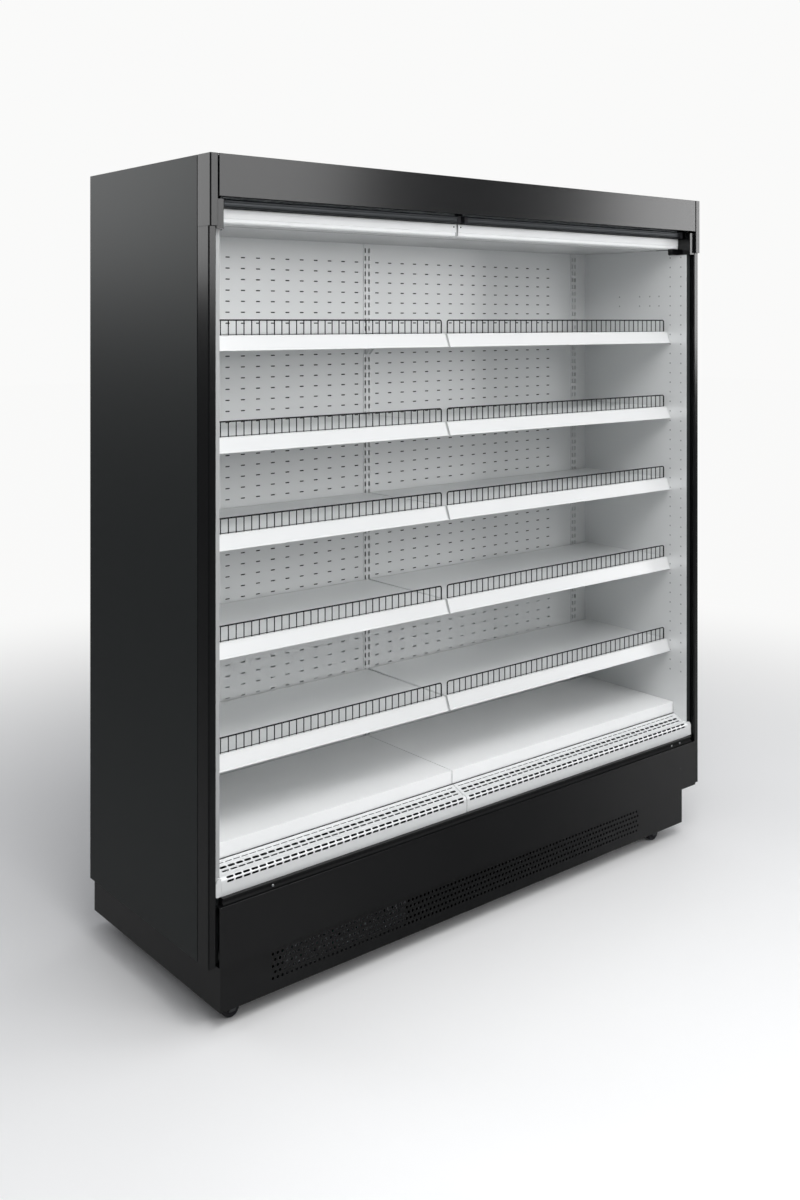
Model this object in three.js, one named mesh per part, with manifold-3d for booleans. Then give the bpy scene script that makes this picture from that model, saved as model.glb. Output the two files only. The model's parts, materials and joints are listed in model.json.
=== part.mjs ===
// Open multideck display fridge, plug-in type, with two bays of five shelves over a base deck.
// Millimetres. X runs along the width, Y from the front to the back, Z up from the floor.
// The shapes are drawn with y = 0 on the front plane; the last group centres the footprint.
import * as THREE from 'three';
import { mergeVertices } from 'three/addons/utils/BufferGeometryUtils.js';
import Module from 'manifold-3d';

const wasm = await Module();
wasm.setup();

// ---------------------------------------------------------------- driving dimensions
const WIDTH = 1955; // over the end panels
const HEIGHT = 2200; // floor to the top of the canopy
const BODY_DEPTH = 666; // front plane to the back of the rear wall
const WALL_SPACER = 79; // how far the base stands out behind, which keeps the body off the room's wall
const END_WALL = 40; // insulated end panel
const LEFT_BAY = 833; // inside width of the left bay; the right bay takes the rest
const REAR_WALL = 50; // insulated rear wall
const ROOF = 50; // insulated roof

const SHEET = 1.5; // folded white sheet
const HEAVY_SHEET = 3; // base frame plate
const SEAT_GAP = 0.3; // between pieces that fit into one another
const BAY_GAP = 2; // between neighbouring pieces at the bay joint

// base, plinth and castors
const PLINTH_INSET = 51.5; // each side, from the outer face of the end panel
const PLINTH_RECESS = 38; // front plane to the kick plate
const SKIRT_LOW = 48; // floor to the lower edge of the skirts
const PANEL_LOW = 185; // floor to the lower edge of the end panels and the fascia
const MACHINE_ROOM = 180; // underside of the floor plate to the insulated tub
const WHEEL_RADIUS = 25;
const CASTOR_HEAD = 20; // wheel top to the underside of the floor plate
const WHEEL_WIDTH = 20;
const AXLE_RADIUS = 4;
const STEM_RADIUS = 6;
const CASTOR_TRAIL = 22;
const CASTOR_IN_X = 80; // plinth side to the swivel axis
const CASTOR_IN_Y = 50; // kick plate to the front swivel axis
const REAR_CASTOR_IN = 85; // back of the base to the rear axle
const CHEEK = 2.5; // fork cheek plate
const CASTOR_PLATE = 64; // side of a castor's mounting plate
const CASTOR_PLATE_THICKNESS = 4;
const SWIVEL_HEAD = 20; // radius of a swivel castor's head
const STEM_LENGTH = 28;
const BEAM_WIDTH = 40; // cross beams under the tub
const BEAM_DEPTH = 18;
const VENT_COUNT = 22; // windows of the kick plate
const VENT_FIELD = { from: -768, to: 707, low: 79, high: 145, web: 18 };
const DRAWN_PLINTH_HALF = 926; // half length that the vent field is given for
const LENGTHWISE = -Math.PI / 2; // turn that lets every castor roll along the cabinet's length

// lower front; a rise is a height above the base
const FASCIA_RISE = 83;
const BUMPER_RISE = 101;
const BUMPER_FRONT = 6; // lips of the bumper channel
const BUMPER_HOLLOW = 5; // depth of its hollow
const TUB_FLOOR = 40; // insulation under the tub
const TUB_FRONT = 40; // insulation of the tub's front wall
const TUB_FRONT_Y = 30;
const LEDGE_RISE = 102; // top of the tub's front wall
const DECK_RISE = 204;
const DECK_SHEET = 2;
const DECK_FRONT = 83;
const DUCT_RAIL_LEDGE = 26; // what the deck pans rest on in front of the uprights
const DUCT_RAIL_DEPTH = 32;
const DECK_DROP = 44; // front flange of the deck pan
const GRILLE_REAR = 79;
const GRILLE_RISE = 164;
const GRILLE_NOSE = 13; // radius of its round front edge
const GRILLE_FACE = 18; // front plane to its upright face
const GRILLE_FALL = 16; // its top falls this much towards the nose
const GRILLE_SLOPE_ANGLE = 70; // where the nose meets the sloping top
const AIR_RAIL_WEB = 19; // grille's rear edge to the upright web of the return air rail
const AIR_RAIL_LEDGE = 4; // how far the rail reaches under the grille's rear edge
const AIR_RAIL_WINDOWS = 12;

// back wall and shelves
const DUCT_DEPTH = 124; // rear air duct, from the face of the back panels to the rear wall
const UPRIGHT_PROUD = 2; // the uprights stand in front of the back panels
const UPRIGHT_WIDTH = 30;
const UPRIGHT_DEPTH = 28;
const UPRIGHT_INSET = 67; // inner face of the end wall to the outer upright's axis
const SHELF_GAPS = [214, 288, 278, 250, 263, 285]; // deck to ceiling, spread over the height there is
const SHELF_FRONT = 93;
const RAIL_HEIGHT = 40;
const RAIL_LEAN = 16; // the price rail's top lies this much further back
const TRAY_FLANGE = 20;
const BRACKET_DROP = 70;
const BRACKET_THICKNESS = 3;
const BRACKET_OFFSET = 5; // upright's axis to the bracket plate
const BRACKET_CURVE = 133; // length of the hollow curve under a bracket
const BRACKET_NECK = 9; // depth of the bracket's thin front part
const RISER_HEIGHT = 42;
const WIRE = 3.2;
const RISER_PITCH = 94; // every fourth upright wire
const RISER_INSET = 8; // shelf end to the riser's end wire

// canopy
const CANOPY_HEIGHT = 106; // canopy fascia
const FASCIA_LIP = 18; // depth of its folded lower edge
const CAP_HEIGHT = 180; // canopy end caps
const TRIM_DEPTH = 53;
const TRIM_SETBACK = 8;
const CAP_WIDTH = 24;
const CAP_STEP = 2; // a cap is this much wider than the trim under it
const CAP_CHEEK = 2; // inner cheek plate of a cap
const CAP_LAP = 6; // its cheek reaches this far below the cap
const CROWN_LIP = 14; // upper lip of the canopy fascia
const GROOVE = 3; // shadow gap between the trims and the end panels
const LINER_FRONT = 27;
const LIGHT_DEPTH = 40;
const LIGHT_HEIGHT = 36;
const OUTLET_DEPTH = 60;
const OUTLET_HEIGHT = 26;
const ROLLER_RADIUS = 20;
const ROLLER_PIN = 4;
const ROLLER_ROOM = 14; // front plane to the roller
const BEARER = 3; // plate that carries both rollers at the bay joint
const BAR_DEPTH = 20;
const BAR_HEIGHT = 22;
const BAR_INSET = 6; // bracket to the end of the bar
const WEB_INSET = 8; // end of the bar to the edge of the fabric
const WEB = 1; // blind fabric

// cooling unit
const FAN_RADIUS = 68;
const FAN_PLATE_Y = 300;
const FAN_SHAFT = 3;
const FAN_ARM = 12; // how far the motor's arms reach past the blades
const CONDENSER_FAN_RADIUS = 66;
const FAN_BLADES = 5;
const FAN_HUB = { radius: 18, depth: 18 };
const BLADE_TILT = 28; // degrees
const MOTOR = { radius: 22, length: 34, shaft: 26 };
const MOTOR_ARMS = [90, 210, 330]; // degrees round the shaft
const COIL = { height: 374, aboveDeck: 26, fins: 18, bends: 5, bendPitch: 76 };
const CONDENSER = { from: -720, to: -300, depth: 36, fins: 16, shroud: 44 };
const COMPRESSOR_RADIUS = 72;
const COMPRESSOR_IN = 340; // plinth's end to its axis

// ---------------------------------------------------------------- derived places
const HALF = WIDTH / 2;
const DEPTH = BODY_DEPTH + WALL_SPACER;
const INSIDE = HALF - END_WALL;
const SPLIT = -INSIDE + LEFT_BAY;
const PLINTH_HALF = HALF - PLINTH_INSET;
const LINER_FACE = INSIDE - SHEET;
const REAR_FACE = BODY_DEPTH - REAR_WALL; // inner face of the rear wall
const ROOF_LOW = HEIGHT - ROOF;
const PLATE_LOW = 2 * WHEEL_RADIUS + CASTOR_HEAD; // underside of the floor plate
const BASE_TOP = PLATE_LOW + MACHINE_ROOM; // where the tub stands
const FASCIA_TOP = BASE_TOP + FASCIA_RISE;
const BUMPER_TOP = BASE_TOP + BUMPER_RISE;
const TUB_INNER = BASE_TOP + TUB_FLOOR;
const TUB_LEDGE = BASE_TOP + LEDGE_RISE;
const DECK_TOP = BASE_TOP + DECK_RISE;
const GRILLE_REAR_Z = BASE_TOP + GRILLE_RISE;
const BACK_Y = REAR_FACE - DUCT_DEPTH; // face of the perforated back panels
const UPRIGHT_Y = BACK_Y - UPRIGHT_PROUD;
const TRIM_BACK = TRIM_SETBACK + TRIM_DEPTH;
const PANEL_FRONT = TRIM_BACK + GROOVE;
const CAP_INNER = HALF - CAP_WIDTH;
const TRIM_INNER = CAP_INNER + CAP_STEP;
const FASCIA_HALF = CAP_INNER - BAY_GAP;
const DECK_REST = DECK_TOP - DECK_SHEET; // what carries the deck pans ends here
const AIR_RAIL_TOP = DECK_TOP - DECK_DROP;
const CANOPY_LOW = HEIGHT - CANOPY_HEIGHT;
const CAP_LOW = HEIGHT - CAP_HEIGHT;
const BLIND_AXIS_Y = ROLLER_ROOM + ROLLER_RADIUS;
const BLIND_AXIS_Z = CANOPY_LOW + ROLLER_RADIUS + 8;
const BAR_BACK = BLIND_AXIS_Y + ROLLER_RADIUS + 2; // the fabric runs straight down into the bar
const BAR_FRONT = BAR_BACK - BAR_DEPTH;
const BAR_HIGH = CANOPY_LOW - 2;
const BAR_LOW = BAR_HIGH - BAR_HEIGHT;
const LIGHT_FRONT = BAR_BACK + 4;
const LIGHT_HIGH = BAR_LOW;
const LIGHT_LOW = LIGHT_HIGH - LIGHT_HEIGHT;
const OUTLET_Y = LIGHT_FRONT + LIGHT_DEPTH;
const CEILING_Y = OUTLET_Y + OUTLET_DEPTH;
const CEILING_Z = LIGHT_LOW - 2;
const sum = (values) => values.reduce((total, value) => total + value, 0);
const SHELF_TOPS = SHELF_GAPS.slice(1).map((_, level) => (
  DECK_TOP + ((CEILING_Z - DECK_TOP) * sum(SHELF_GAPS.slice(0, level + 1))) / sum(SHELF_GAPS)
));
const UPRIGHT_X = [-INSIDE + UPRIGHT_INSET, SPLIT, INSIDE - UPRIGHT_INSET];
const BAYS = [
  { side: 'left', from: -LINER_FACE, to: SPLIT, posts: [UPRIGHT_X[0], UPRIGHT_X[1]] },
  { side: 'right', from: SPLIT, to: LINER_FACE, posts: [UPRIGHT_X[1], UPRIGHT_X[2]] },
];

// ---------------------------------------------------------------- finishes
const FINISHES = {
  blackSteel: { color: 0x1d1e20, roughness: 0.42, metalness: 0.25 },
  whiteSteel: { color: 0xe9ebea, roughness: 0.38, metalness: 0.05 },
  blackPlastic: { color: 0x121314, roughness: 0.5, metalness: 0 },
  darkAluminium: { color: 0x3a3c3f, roughness: 0.35, metalness: 0.7 },
  whitePlastic: { color: 0xf2f3f2, roughness: 0.3, metalness: 0 },
  zincSteel: { color: 0xa8acae, roughness: 0.4, metalness: 0.8 },
  finAluminium: { color: 0xc4c8ca, roughness: 0.35, metalness: 0.85 },
  castorPlastic: { color: 0x17181a, roughness: 0.55, metalness: 0 },
  compressorPaint: { color: 0x151617, roughness: 0.35, metalness: 0.2 },
  blindFabric: { color: 0xb9bdbf, roughness: 0.7, metalness: 0.1 },
};

// ---------------------------------------------------------------- shape helpers
const MERGE_DISTANCE = 1e-3;
const vector = (x, y, z) => new THREE.Vector3(x, y, z);
const AXIS_TURNS = {
  x: new THREE.Matrix4().makeBasis(vector(0, 1, 0), vector(0, 0, 1), vector(1, 0, 0)),
  y: new THREE.Matrix4().makeBasis(vector(0, 0, 1), vector(1, 0, 0), vector(0, 1, 0)),
  z: new THREE.Matrix4(),
};

// A box between two corners, whose faces lie exactly there.
function box(low, high) {
  const geometry = new THREE.BoxGeometry(1, 1, 1);
  const corners = geometry.getAttribute('position');
  for (let i = 0; i < corners.count; i++) {
    const unit = vector().fromBufferAttribute(corners, i).toArray();
    corners.setXYZ(i, ...unit.map((value, axis) => (value < 0 ? low : high)[axis]));
  }
  return geometry;
}

// An outline pushed along an axis: [y, z] points along x, [x, z] along y and [x, y] along z.
function prism(axis, outline, from, to, holes = []) {
  const place = ([a, b]) => (axis === 'y' ? new THREE.Vector2(b, a) : new THREE.Vector2(a, b));
  const edge = outline.map(place);
  if (THREE.ShapeUtils.isClockWise(edge)) edge.reverse();
  const shape = new THREE.Shape(edge);
  shape.holes = holes.map((hole) => new THREE.Path(hole.map(place)));
  const geometry = new THREE.ExtrudeGeometry(shape, { depth: to - from, bevelEnabled: false });
  return geometry.translate(0, 0, from).applyMatrix4(AXIS_TURNS[axis]);
}

// A turned piece: [radius, height] points, whose height runs along the axis from the place given.
function turned(axis, profile, [x, y, z], segments = 24) {
  const points = profile.map(([radius, height]) => new THREE.Vector2(radius, height));
  const geometry = new THREE.LatheGeometry(points, segments).rotateX(Math.PI / 2);
  return geometry.applyMatrix4(AXIS_TURNS[axis]).translate(x, y, z);
}

// A closed cylinder along an axis.
function rod(axis, radius, length, place, segments = 24) {
  return turned(axis, [[0, 0], [radius, 0], [radius, length], [0, length]], place, segments);
}

const rectangle = (a0, b0, a1, b1) => [[a0, b0], [a1, b0], [a1, b1], [a0, b1]];

// Points of a round arc, angles in degrees.
function arc([a, b], radius, fromAngle, toAngle, steps) {
  return Array.from({ length: steps + 1 }, (_, i) => {
    const angle = THREE.MathUtils.degToRad(fromAngle + ((toAngle - fromAngle) * i) / steps);
    return [a + radius * Math.cos(angle), b + radius * Math.sin(angle)];
  });
}

// The closed solid of a geometry.
function solid(geometry) {
  const bare = geometry.index ? geometry.toNonIndexed() : geometry.clone();
  bare.deleteAttribute('normal');
  bare.deleteAttribute('uv');
  const merged = mergeVertices(bare, MERGE_DISTANCE);
  return new wasm.Manifold(new wasm.Mesh({
    numProp: 3,
    vertProperties: merged.getAttribute('position').array,
    triVerts: new Uint32Array(merged.index.array),
  }));
}

function geometryOf(manifold) {
  const { vertProperties, triVerts } = manifold.getMesh();
  const geometry = new THREE.BufferGeometry();
  geometry.setAttribute('position', new THREE.BufferAttribute(vertProperties, 3));
  geometry.setIndex(new THREE.BufferAttribute(triVerts, 1));
  return geometry;
}

function join(...geometries) {
  return geometryOf(geometries.map(solid).reduce((whole, piece) => whole.add(piece)));
}

function cut(base, ...tools) {
  return geometryOf(tools.map(solid).reduce((whole, tool) => whole.subtract(tool), solid(base)));
}

const mirrored = (outline) => outline.map(([x, other]) => [-x, other]).reverse();

const fridge = new THREE.Group();
const cabinet = new THREE.Group();
cabinet.position.y = -DEPTH / 2;
fridge.add(cabinet);

function add(name, geometry, finish, parent = cabinet) {
  const shaded = geometry.index ? geometry.toNonIndexed() : geometry;
  shaded.computeVertexNormals();
  const mesh = new THREE.Mesh(shaded, new THREE.MeshStandardMaterial(FINISHES[finish]));
  mesh.name = name;
  parent.add(mesh);
  return mesh;
}

// ---------------------------------------------------------------- base frame and castors
const castorX = PLINTH_HALF - CASTOR_IN_X;
const frontCastorY = PLINTH_RECESS + SHEET + CASTOR_IN_Y;
const rearCastorY = DEPTH - REAR_CASTOR_IN;
const skirtFront = PLINTH_RECESS + SHEET;
const plateTop = PLATE_LOW + HEAVY_SHEET;
const padLow = PLATE_LOW - CASTOR_PLATE_THICKNESS;
const forkInner = WHEEL_WIDTH / 2 + 1;
const forkOuter = forkInner + CHEEK;

// Cheeks and axle of a castor fork under a crown that is centred on x = y = 0.
function forkPieces(trail, crownZ) {
  const neck = 9; // half width at the axle
  const shoulder = 14; // half width at the crown
  const outline = [
    [-trail - neck, WHEEL_RADIUS - neck], [neck - trail, WHEEL_RADIUS - neck],
    [shoulder, crownZ], [-shoulder, crownZ],
  ];
  return [
    prism('x', outline, -forkOuter, -forkInner),
    prism('x', outline, forkInner, forkOuter),
    rod('x', AXLE_RADIUS, 2 * forkOuter + 2, [-forkOuter - 1, -trail, WHEEL_RADIUS]),
  ];
}

function baseFrame() {
  const inner = PLINTH_HALF - HEAVY_SHEET;
  const skin = HEAVY_SHEET;
  const past = 5; // a cut runs this far past an open side
  const outside = [
    [skirtFront, SKIRT_LOW], [DEPTH, SKIRT_LOW], [DEPTH, PANEL_LOW],
    [BODY_DEPTH, PANEL_LOW], [BODY_DEPTH, BASE_TOP], [skirtFront, BASE_TOP],
  ];
  const room = [
    [skirtFront - past, plateTop], [DEPTH - skin, plateTop], [DEPTH - skin, PANEL_LOW - skin],
    [BODY_DEPTH - skin, PANEL_LOW - skin], [BODY_DEPTH - skin, BASE_TOP + past],
    [skirtFront - past, BASE_TOP + past],
  ];
  const below = rectangle(skirtFront - past, SKIRT_LOW - past, DEPTH - skin, PLATE_LOW);
  const shell = cut(
    prism('x', outside, -PLINTH_HALF, PLINTH_HALF),
    prism('x', room, -inner, inner), prism('x', below, -inner, inner),
  );
  const beam = (y) => box(
    [-inner - 1, y, BASE_TOP - BEAM_DEPTH], [inner + 1, y + BEAM_WIDTH, BASE_TOP - 1],
  );
  const pieces = [shell, beam(skirtFront + 4), beam(BODY_DEPTH - 100)];
  const pad = CASTOR_PLATE / 2;
  const bores = [];
  for (const side of [-1, 1]) {
    const x = side * castorX;
    pieces.push(box(
      [x - pad, frontCastorY - pad, padLow], [x + pad, frontCastorY + pad, PLATE_LOW + 1],
    ));
    pieces.push(rod('z', STEM_RADIUS + 6, 22, [x, frontCastorY, plateTop - 1]));
    bores.push(rod('z', STEM_RADIUS + SEAT_GAP, 60, [x, frontCastorY, padLow - 10]));
    pieces.push(box(
      [x - pad, rearCastorY - pad, padLow - 6], [x + pad, rearCastorY + pad, PLATE_LOW + 1],
    ));
    const fixedFork = forkPieces(0, padLow - 5);
    pieces.push(...fixedFork.map((piece) => piece.rotateZ(LENGTHWISE).translate(x, rearCastorY, 0)));
  }
  return cut(join(...pieces), ...bores);
}

function wheel() {
  const bore = AXLE_RADIUS + SEAT_GAP;
  const half = WHEEL_WIDTH / 2;
  const profile = [
    [bore, -half], [WHEEL_RADIUS - 3, -half], [WHEEL_RADIUS, -half + 3],
    [WHEEL_RADIUS, half - 3], [WHEEL_RADIUS - 3, half], [bore, half], [bore, -half],
  ];
  return turned('x', profile, [0, 0, 0], 28);
}

function swivelFork() {
  const crownTop = padLow - SEAT_GAP;
  return join(
    rod('z', SWIVEL_HEAD, 7, [0, 0, crownTop - 7]),
    rod('z', STEM_RADIUS, STEM_LENGTH, [0, 0, crownTop - 1]),
    ...forkPieces(CASTOR_TRAIL, crownTop - 6),
  );
}

function buildBase() {
  add('base_frame', baseFrame(), 'blackSteel');
  const wheelShape = wheel();
  for (const [sign, side] of [[-1, 'left'], [1, 'right']]) {
    const front = new THREE.Group();
    front.position.set(sign * castorX, frontCastorY, 0);
    front.rotation.z = LENGTHWISE;
    cabinet.add(front);
    add(`castor_fork_front_${side}`, swivelFork(), 'zincSteel', front);
    const turning = add(`castor_wheel_front_${side}`, wheelShape, 'castorPlastic', front);
    turning.position.set(0, -CASTOR_TRAIL, WHEEL_RADIUS);
    const fixed = add(`castor_wheel_rear_${side}`, wheelShape, 'castorPlastic');
    fixed.position.set(sign * castorX, rearCastorY, WHEEL_RADIUS);
    fixed.rotation.z = LENGTHWISE;
  }
}

// ---------------------------------------------------------------- lower front
function kickPlate() {
  const { from, to, low, high, web } = VENT_FIELD;
  const pitch = (to - from) / VENT_COUNT;
  const share = PLINTH_HALF / DRAWN_PLINTH_HALF; // the field keeps its share of the plinth
  const windows = Array.from({ length: VENT_COUNT }, (_, i) => rectangle(
    (from + i * pitch) * share, low, (from + (i + 1) * pitch - web) * share, high,
  ));
  const face = rectangle(-PLINTH_HALF, SKIRT_LOW, PLINTH_HALF, PANEL_LOW);
  return prism('y', face, PLINTH_RECESS, PLINTH_RECESS + SHEET, windows);
}

function lowerFascia() {
  const lip = LINER_FRONT - 5;
  const low = PANEL_LOW - SHEET; // the lower lip passes under the end panels to the kick plate
  const outline = [
    [0, low], [PLINTH_RECESS, low], [PLINTH_RECESS, PANEL_LOW], [SHEET, PANEL_LOW],
    [SHEET, FASCIA_TOP - SHEET], [lip, FASCIA_TOP - SHEET], [lip, FASCIA_TOP], [0, FASCIA_TOP],
  ];
  return prism('x', outline, -FASCIA_HALF, FASCIA_HALF);
}

function bumperChannel() {
  const bottom = BUMPER_FRONT + BUMPER_HOLLOW;
  const outline = [
    [BUMPER_FRONT, FASCIA_TOP], [TUB_FRONT_Y, FASCIA_TOP], [TUB_FRONT_Y, BUMPER_TOP],
    [BUMPER_FRONT, BUMPER_TOP], [BUMPER_FRONT, BUMPER_TOP - 4], [bottom, BUMPER_TOP - 6],
    [bottom, FASCIA_TOP + 6], [BUMPER_FRONT, FASCIA_TOP + 4],
  ];
  return prism('x', outline, -INSIDE, INSIDE);
}

function insulatedTub() {
  const inner = TUB_FRONT_Y + TUB_FRONT;
  const outline = [
    [TUB_FRONT_Y, BASE_TOP], [REAR_FACE, BASE_TOP], [REAR_FACE, TUB_INNER],
    [inner, TUB_INNER], [inner, TUB_LEDGE], [TUB_FRONT_Y, TUB_LEDGE],
  ];
  return prism('x', outline, -INSIDE, INSIDE);
}

// The return grille's section: a sloping top, a round nose and an upright face.
function grilleOutline() {
  const centre = [GRILLE_FACE + GRILLE_NOSE, GRILLE_REAR_Z - GRILLE_FALL - GRILLE_NOSE];
  const outer = [
    [GRILLE_REAR, GRILLE_REAR_Z], ...arc(centre, GRILLE_NOSE, GRILLE_SLOPE_ANGLE, 180, 6),
    [GRILLE_FACE, BUMPER_TOP],
  ];
  const inner = [
    [GRILLE_FACE + SHEET, BUMPER_TOP], ...arc(centre, GRILLE_NOSE - SHEET, 180, GRILLE_SLOPE_ANGLE, 6),
    [GRILLE_REAR - SHEET, GRILLE_REAR_Z - SHEET * 1.3],
    [GRILLE_REAR - SHEET, AIR_RAIL_TOP], [GRILLE_REAR, AIR_RAIL_TOP],
  ];
  return [...outer, ...inner];
}

// Stands on the tub floor and carries the grille's rear edge and the deck's front flange.
function returnAirRail() {
  const webY = GRILLE_REAR + AIR_RAIL_WEB;
  const pitch = (2 * LINER_FACE) / AIR_RAIL_WINDOWS;
  const margin = 14;
  const windows = Array.from({ length: AIR_RAIL_WINDOWS }, (_, i) => rectangle(
    -LINER_FACE + i * pitch + margin, TUB_INNER + margin - 2,
    -LINER_FACE + (i + 1) * pitch - margin, AIR_RAIL_TOP - margin - 2,
  ));
  const web = rectangle(-LINER_FACE, TUB_INNER, LINER_FACE, AIR_RAIL_TOP);
  return join(
    prism('y', web, webY, webY + 2, windows),
    box(
      [-LINER_FACE, GRILLE_REAR - AIR_RAIL_LEDGE, AIR_RAIL_TOP - 2],
      [LINER_FACE, webY + 1, AIR_RAIL_TOP],
    ),
  );
}

// Carries the deck pans' rear edge in front of the uprights.
function rearDuctRail() {
  const skin = 2;
  const ledgeFront = UPRIGHT_Y - DUCT_RAIL_LEDGE;
  const outline = [
    [ledgeFront, DECK_REST - skin], [UPRIGHT_Y - skin, DECK_REST - skin],
    [UPRIGHT_Y - skin, DECK_REST - DUCT_RAIL_DEPTH], [UPRIGHT_Y, DECK_REST - DUCT_RAIL_DEPTH],
    [UPRIGHT_Y, DECK_REST], [ledgeFront, DECK_REST],
  ];
  return prism('x', outline, -LINER_FACE, LINER_FACE);
}

function deckPan(from, to) {
  const outline = [
    [DECK_FRONT, AIR_RAIL_TOP], [DECK_FRONT + DECK_SHEET, AIR_RAIL_TOP],
    [DECK_FRONT + DECK_SHEET, DECK_REST],
    [UPRIGHT_Y - 2, DECK_REST], [UPRIGHT_Y - 2, DECK_TOP], [DECK_FRONT, DECK_TOP],
  ];
  return prism('x', outline, from, to);
}

function buildLowerFront() {
  add('kick_plate', kickPlate(), 'blackSteel');
  add('lower_fascia', lowerFascia(), 'blackSteel');
  add('bumper_channel', bumperChannel(), 'blackPlastic');
  add('insulated_tub', insulatedTub(), 'whitePlastic');
  add('return_air_rail', returnAirRail(), 'whiteSteel');
  add('rear_duct_rail', rearDuctRail(), 'whiteSteel');
  for (const { side, from, to } of BAYS) {
    const inset = BAY_GAP / 2;
    add(`deck_pan_${side}`, deckPan(from + inset, to - inset), 'whiteSteel');
    add(`return_grille_${side}`, prism('x', grilleOutline(), from + inset, to - inset), 'whiteSteel');
  }
}

// ---------------------------------------------------------------- walls
function endPanelOutline() {
  const tongue = CAP_INNER - SEAT_GAP;
  return [
    [INSIDE, LINER_FRONT], [tongue, LINER_FRONT], [tongue, PANEL_FRONT], [HALF, PANEL_FRONT],
    [HALF, BODY_DEPTH], [INSIDE, BODY_DEPTH],
  ];
}

function trimOutline() {
  const edge = 2.5;
  return [
    [TRIM_INNER, TRIM_SETBACK + edge], [TRIM_INNER + edge, TRIM_SETBACK], [HALF - edge, TRIM_SETBACK],
    [HALF, TRIM_SETBACK + edge], [HALF, TRIM_BACK], [TRIM_INNER, TRIM_BACK],
  ];
}

// The canopy cap wraps the tongue of the end panel: an outer post and an inner cheek.
function canopyCap() {
  const cheekOut = LINER_FACE;
  const cheekIn = cheekOut - CAP_CHEEK;
  const edge = 3;
  const post = [
    [CAP_INNER, edge], [CAP_INNER + edge, 0], [HALF - edge, 0], [HALF, edge], [HALF, TRIM_BACK],
    [CAP_INNER, TRIM_BACK],
  ];
  const cheekLow = CAP_LOW - CAP_LAP;
  const cheekFront = FASCIA_LIP + 2;
  const web = box([cheekIn, 9, cheekLow], [CAP_INNER + 1, cheekFront + 2, CANOPY_LOW - 6]);
  const cheek = box([cheekIn, cheekFront, cheekLow], [cheekOut, OUTLET_Y, ROOF_LOW]);
  const foot = box([cheekIn - 28, LIGHT_FRONT + 2, cheekLow], [cheekIn + 1, LIGHT_FRONT + 22, LIGHT_LOW]);
  const bore = rod('x', ROLLER_PIN + SEAT_GAP, 40, [cheekIn - 20, BLIND_AXIS_Y, BLIND_AXIS_Z]);
  return cut(join(prism('z', post, CAP_LOW, HEIGHT), web, cheek, foot), bore);
}

function sideLiner() {
  const front = LINER_FRONT - SHEET;
  const returnX = UPRIGHT_X[2] + UPRIGHT_WIDTH / 2 + SEAT_GAP;
  const outline = [
    [LINER_FACE, front], [CAP_INNER - SEAT_GAP, front], [CAP_INNER - SEAT_GAP, LINER_FRONT],
    [INSIDE, LINER_FRONT], [INSIDE, BACK_Y + SHEET], [returnX, BACK_Y + SHEET],
    [returnX, BACK_Y], [LINER_FACE, BACK_Y],
  ];
  return outline;
}

function upright() {
  const half = UPRIGHT_WIDTH / 2;
  const wall = UPRIGHT_PROUD;
  const back = UPRIGHT_Y + UPRIGHT_DEPTH;
  return [
    [-half, UPRIGHT_Y], [half, UPRIGHT_Y], [half, back], [half - wall, back],
    [half - wall, UPRIGHT_Y + wall], [wall - half, UPRIGHT_Y + wall], [wall - half, back], [-half, back],
  ];
}

function backPanel([leftPost, rightPost]) {
  const from = leftPost + UPRIGHT_WIDTH / 2 + SEAT_GAP;
  const to = rightPost - UPRIGHT_WIDTH / 2 - SEAT_GAP;
  const fold = 14;
  return [
    [from, BACK_Y], [to, BACK_Y], [to, BACK_Y + fold], [to - SHEET, BACK_Y + fold],
    [to - SHEET, BACK_Y + SHEET], [from + SHEET, BACK_Y + SHEET], [from + SHEET, BACK_Y + fold],
    [from, BACK_Y + fold],
  ];
}

function buildWalls() {
  add('rear_wall', box([-INSIDE, REAR_FACE, BASE_TOP], [INSIDE, BODY_DEPTH, HEIGHT]), 'blackSteel');
  add('roof_panel', box([-INSIDE, CROWN_LIP, ROOF_LOW], [INSIDE, REAR_FACE, HEIGHT]), 'blackSteel');
  for (const side of ['left', 'right']) {
    const turn = (outline) => (side === 'left' ? mirrored(outline) : outline);
    add(`end_panel_${side}`, prism('z', turn(endPanelOutline()), PANEL_LOW, HEIGHT), 'blackSteel');
    add(`end_trim_${side}`, prism('z', turn(trimOutline()), PANEL_LOW, CAP_LOW), 'blackSteel');
    add(`side_liner_${side}`, prism('z', turn(sideLiner()), TUB_LEDGE + 6, CEILING_Z), 'whiteSteel');
    const cap = add(`canopy_cap_${side}`, canopyCap(), 'blackPlastic');
    cap.scale.x = side === 'left' ? -1 : 1;
  }
  for (const [index, name] of ['left', 'middle', 'right'].entries()) {
    const post = add(`upright_${name}`, prism('z', upright(), TUB_INNER, CEILING_Z), 'whiteSteel');
    post.position.x = UPRIGHT_X[index];
  }
  for (const { side, posts } of BAYS) {
    add(`back_panel_${side}`, prism('z', backPanel(posts), DECK_REST - 20, CEILING_Z), 'whiteSteel');
  }
}

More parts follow.
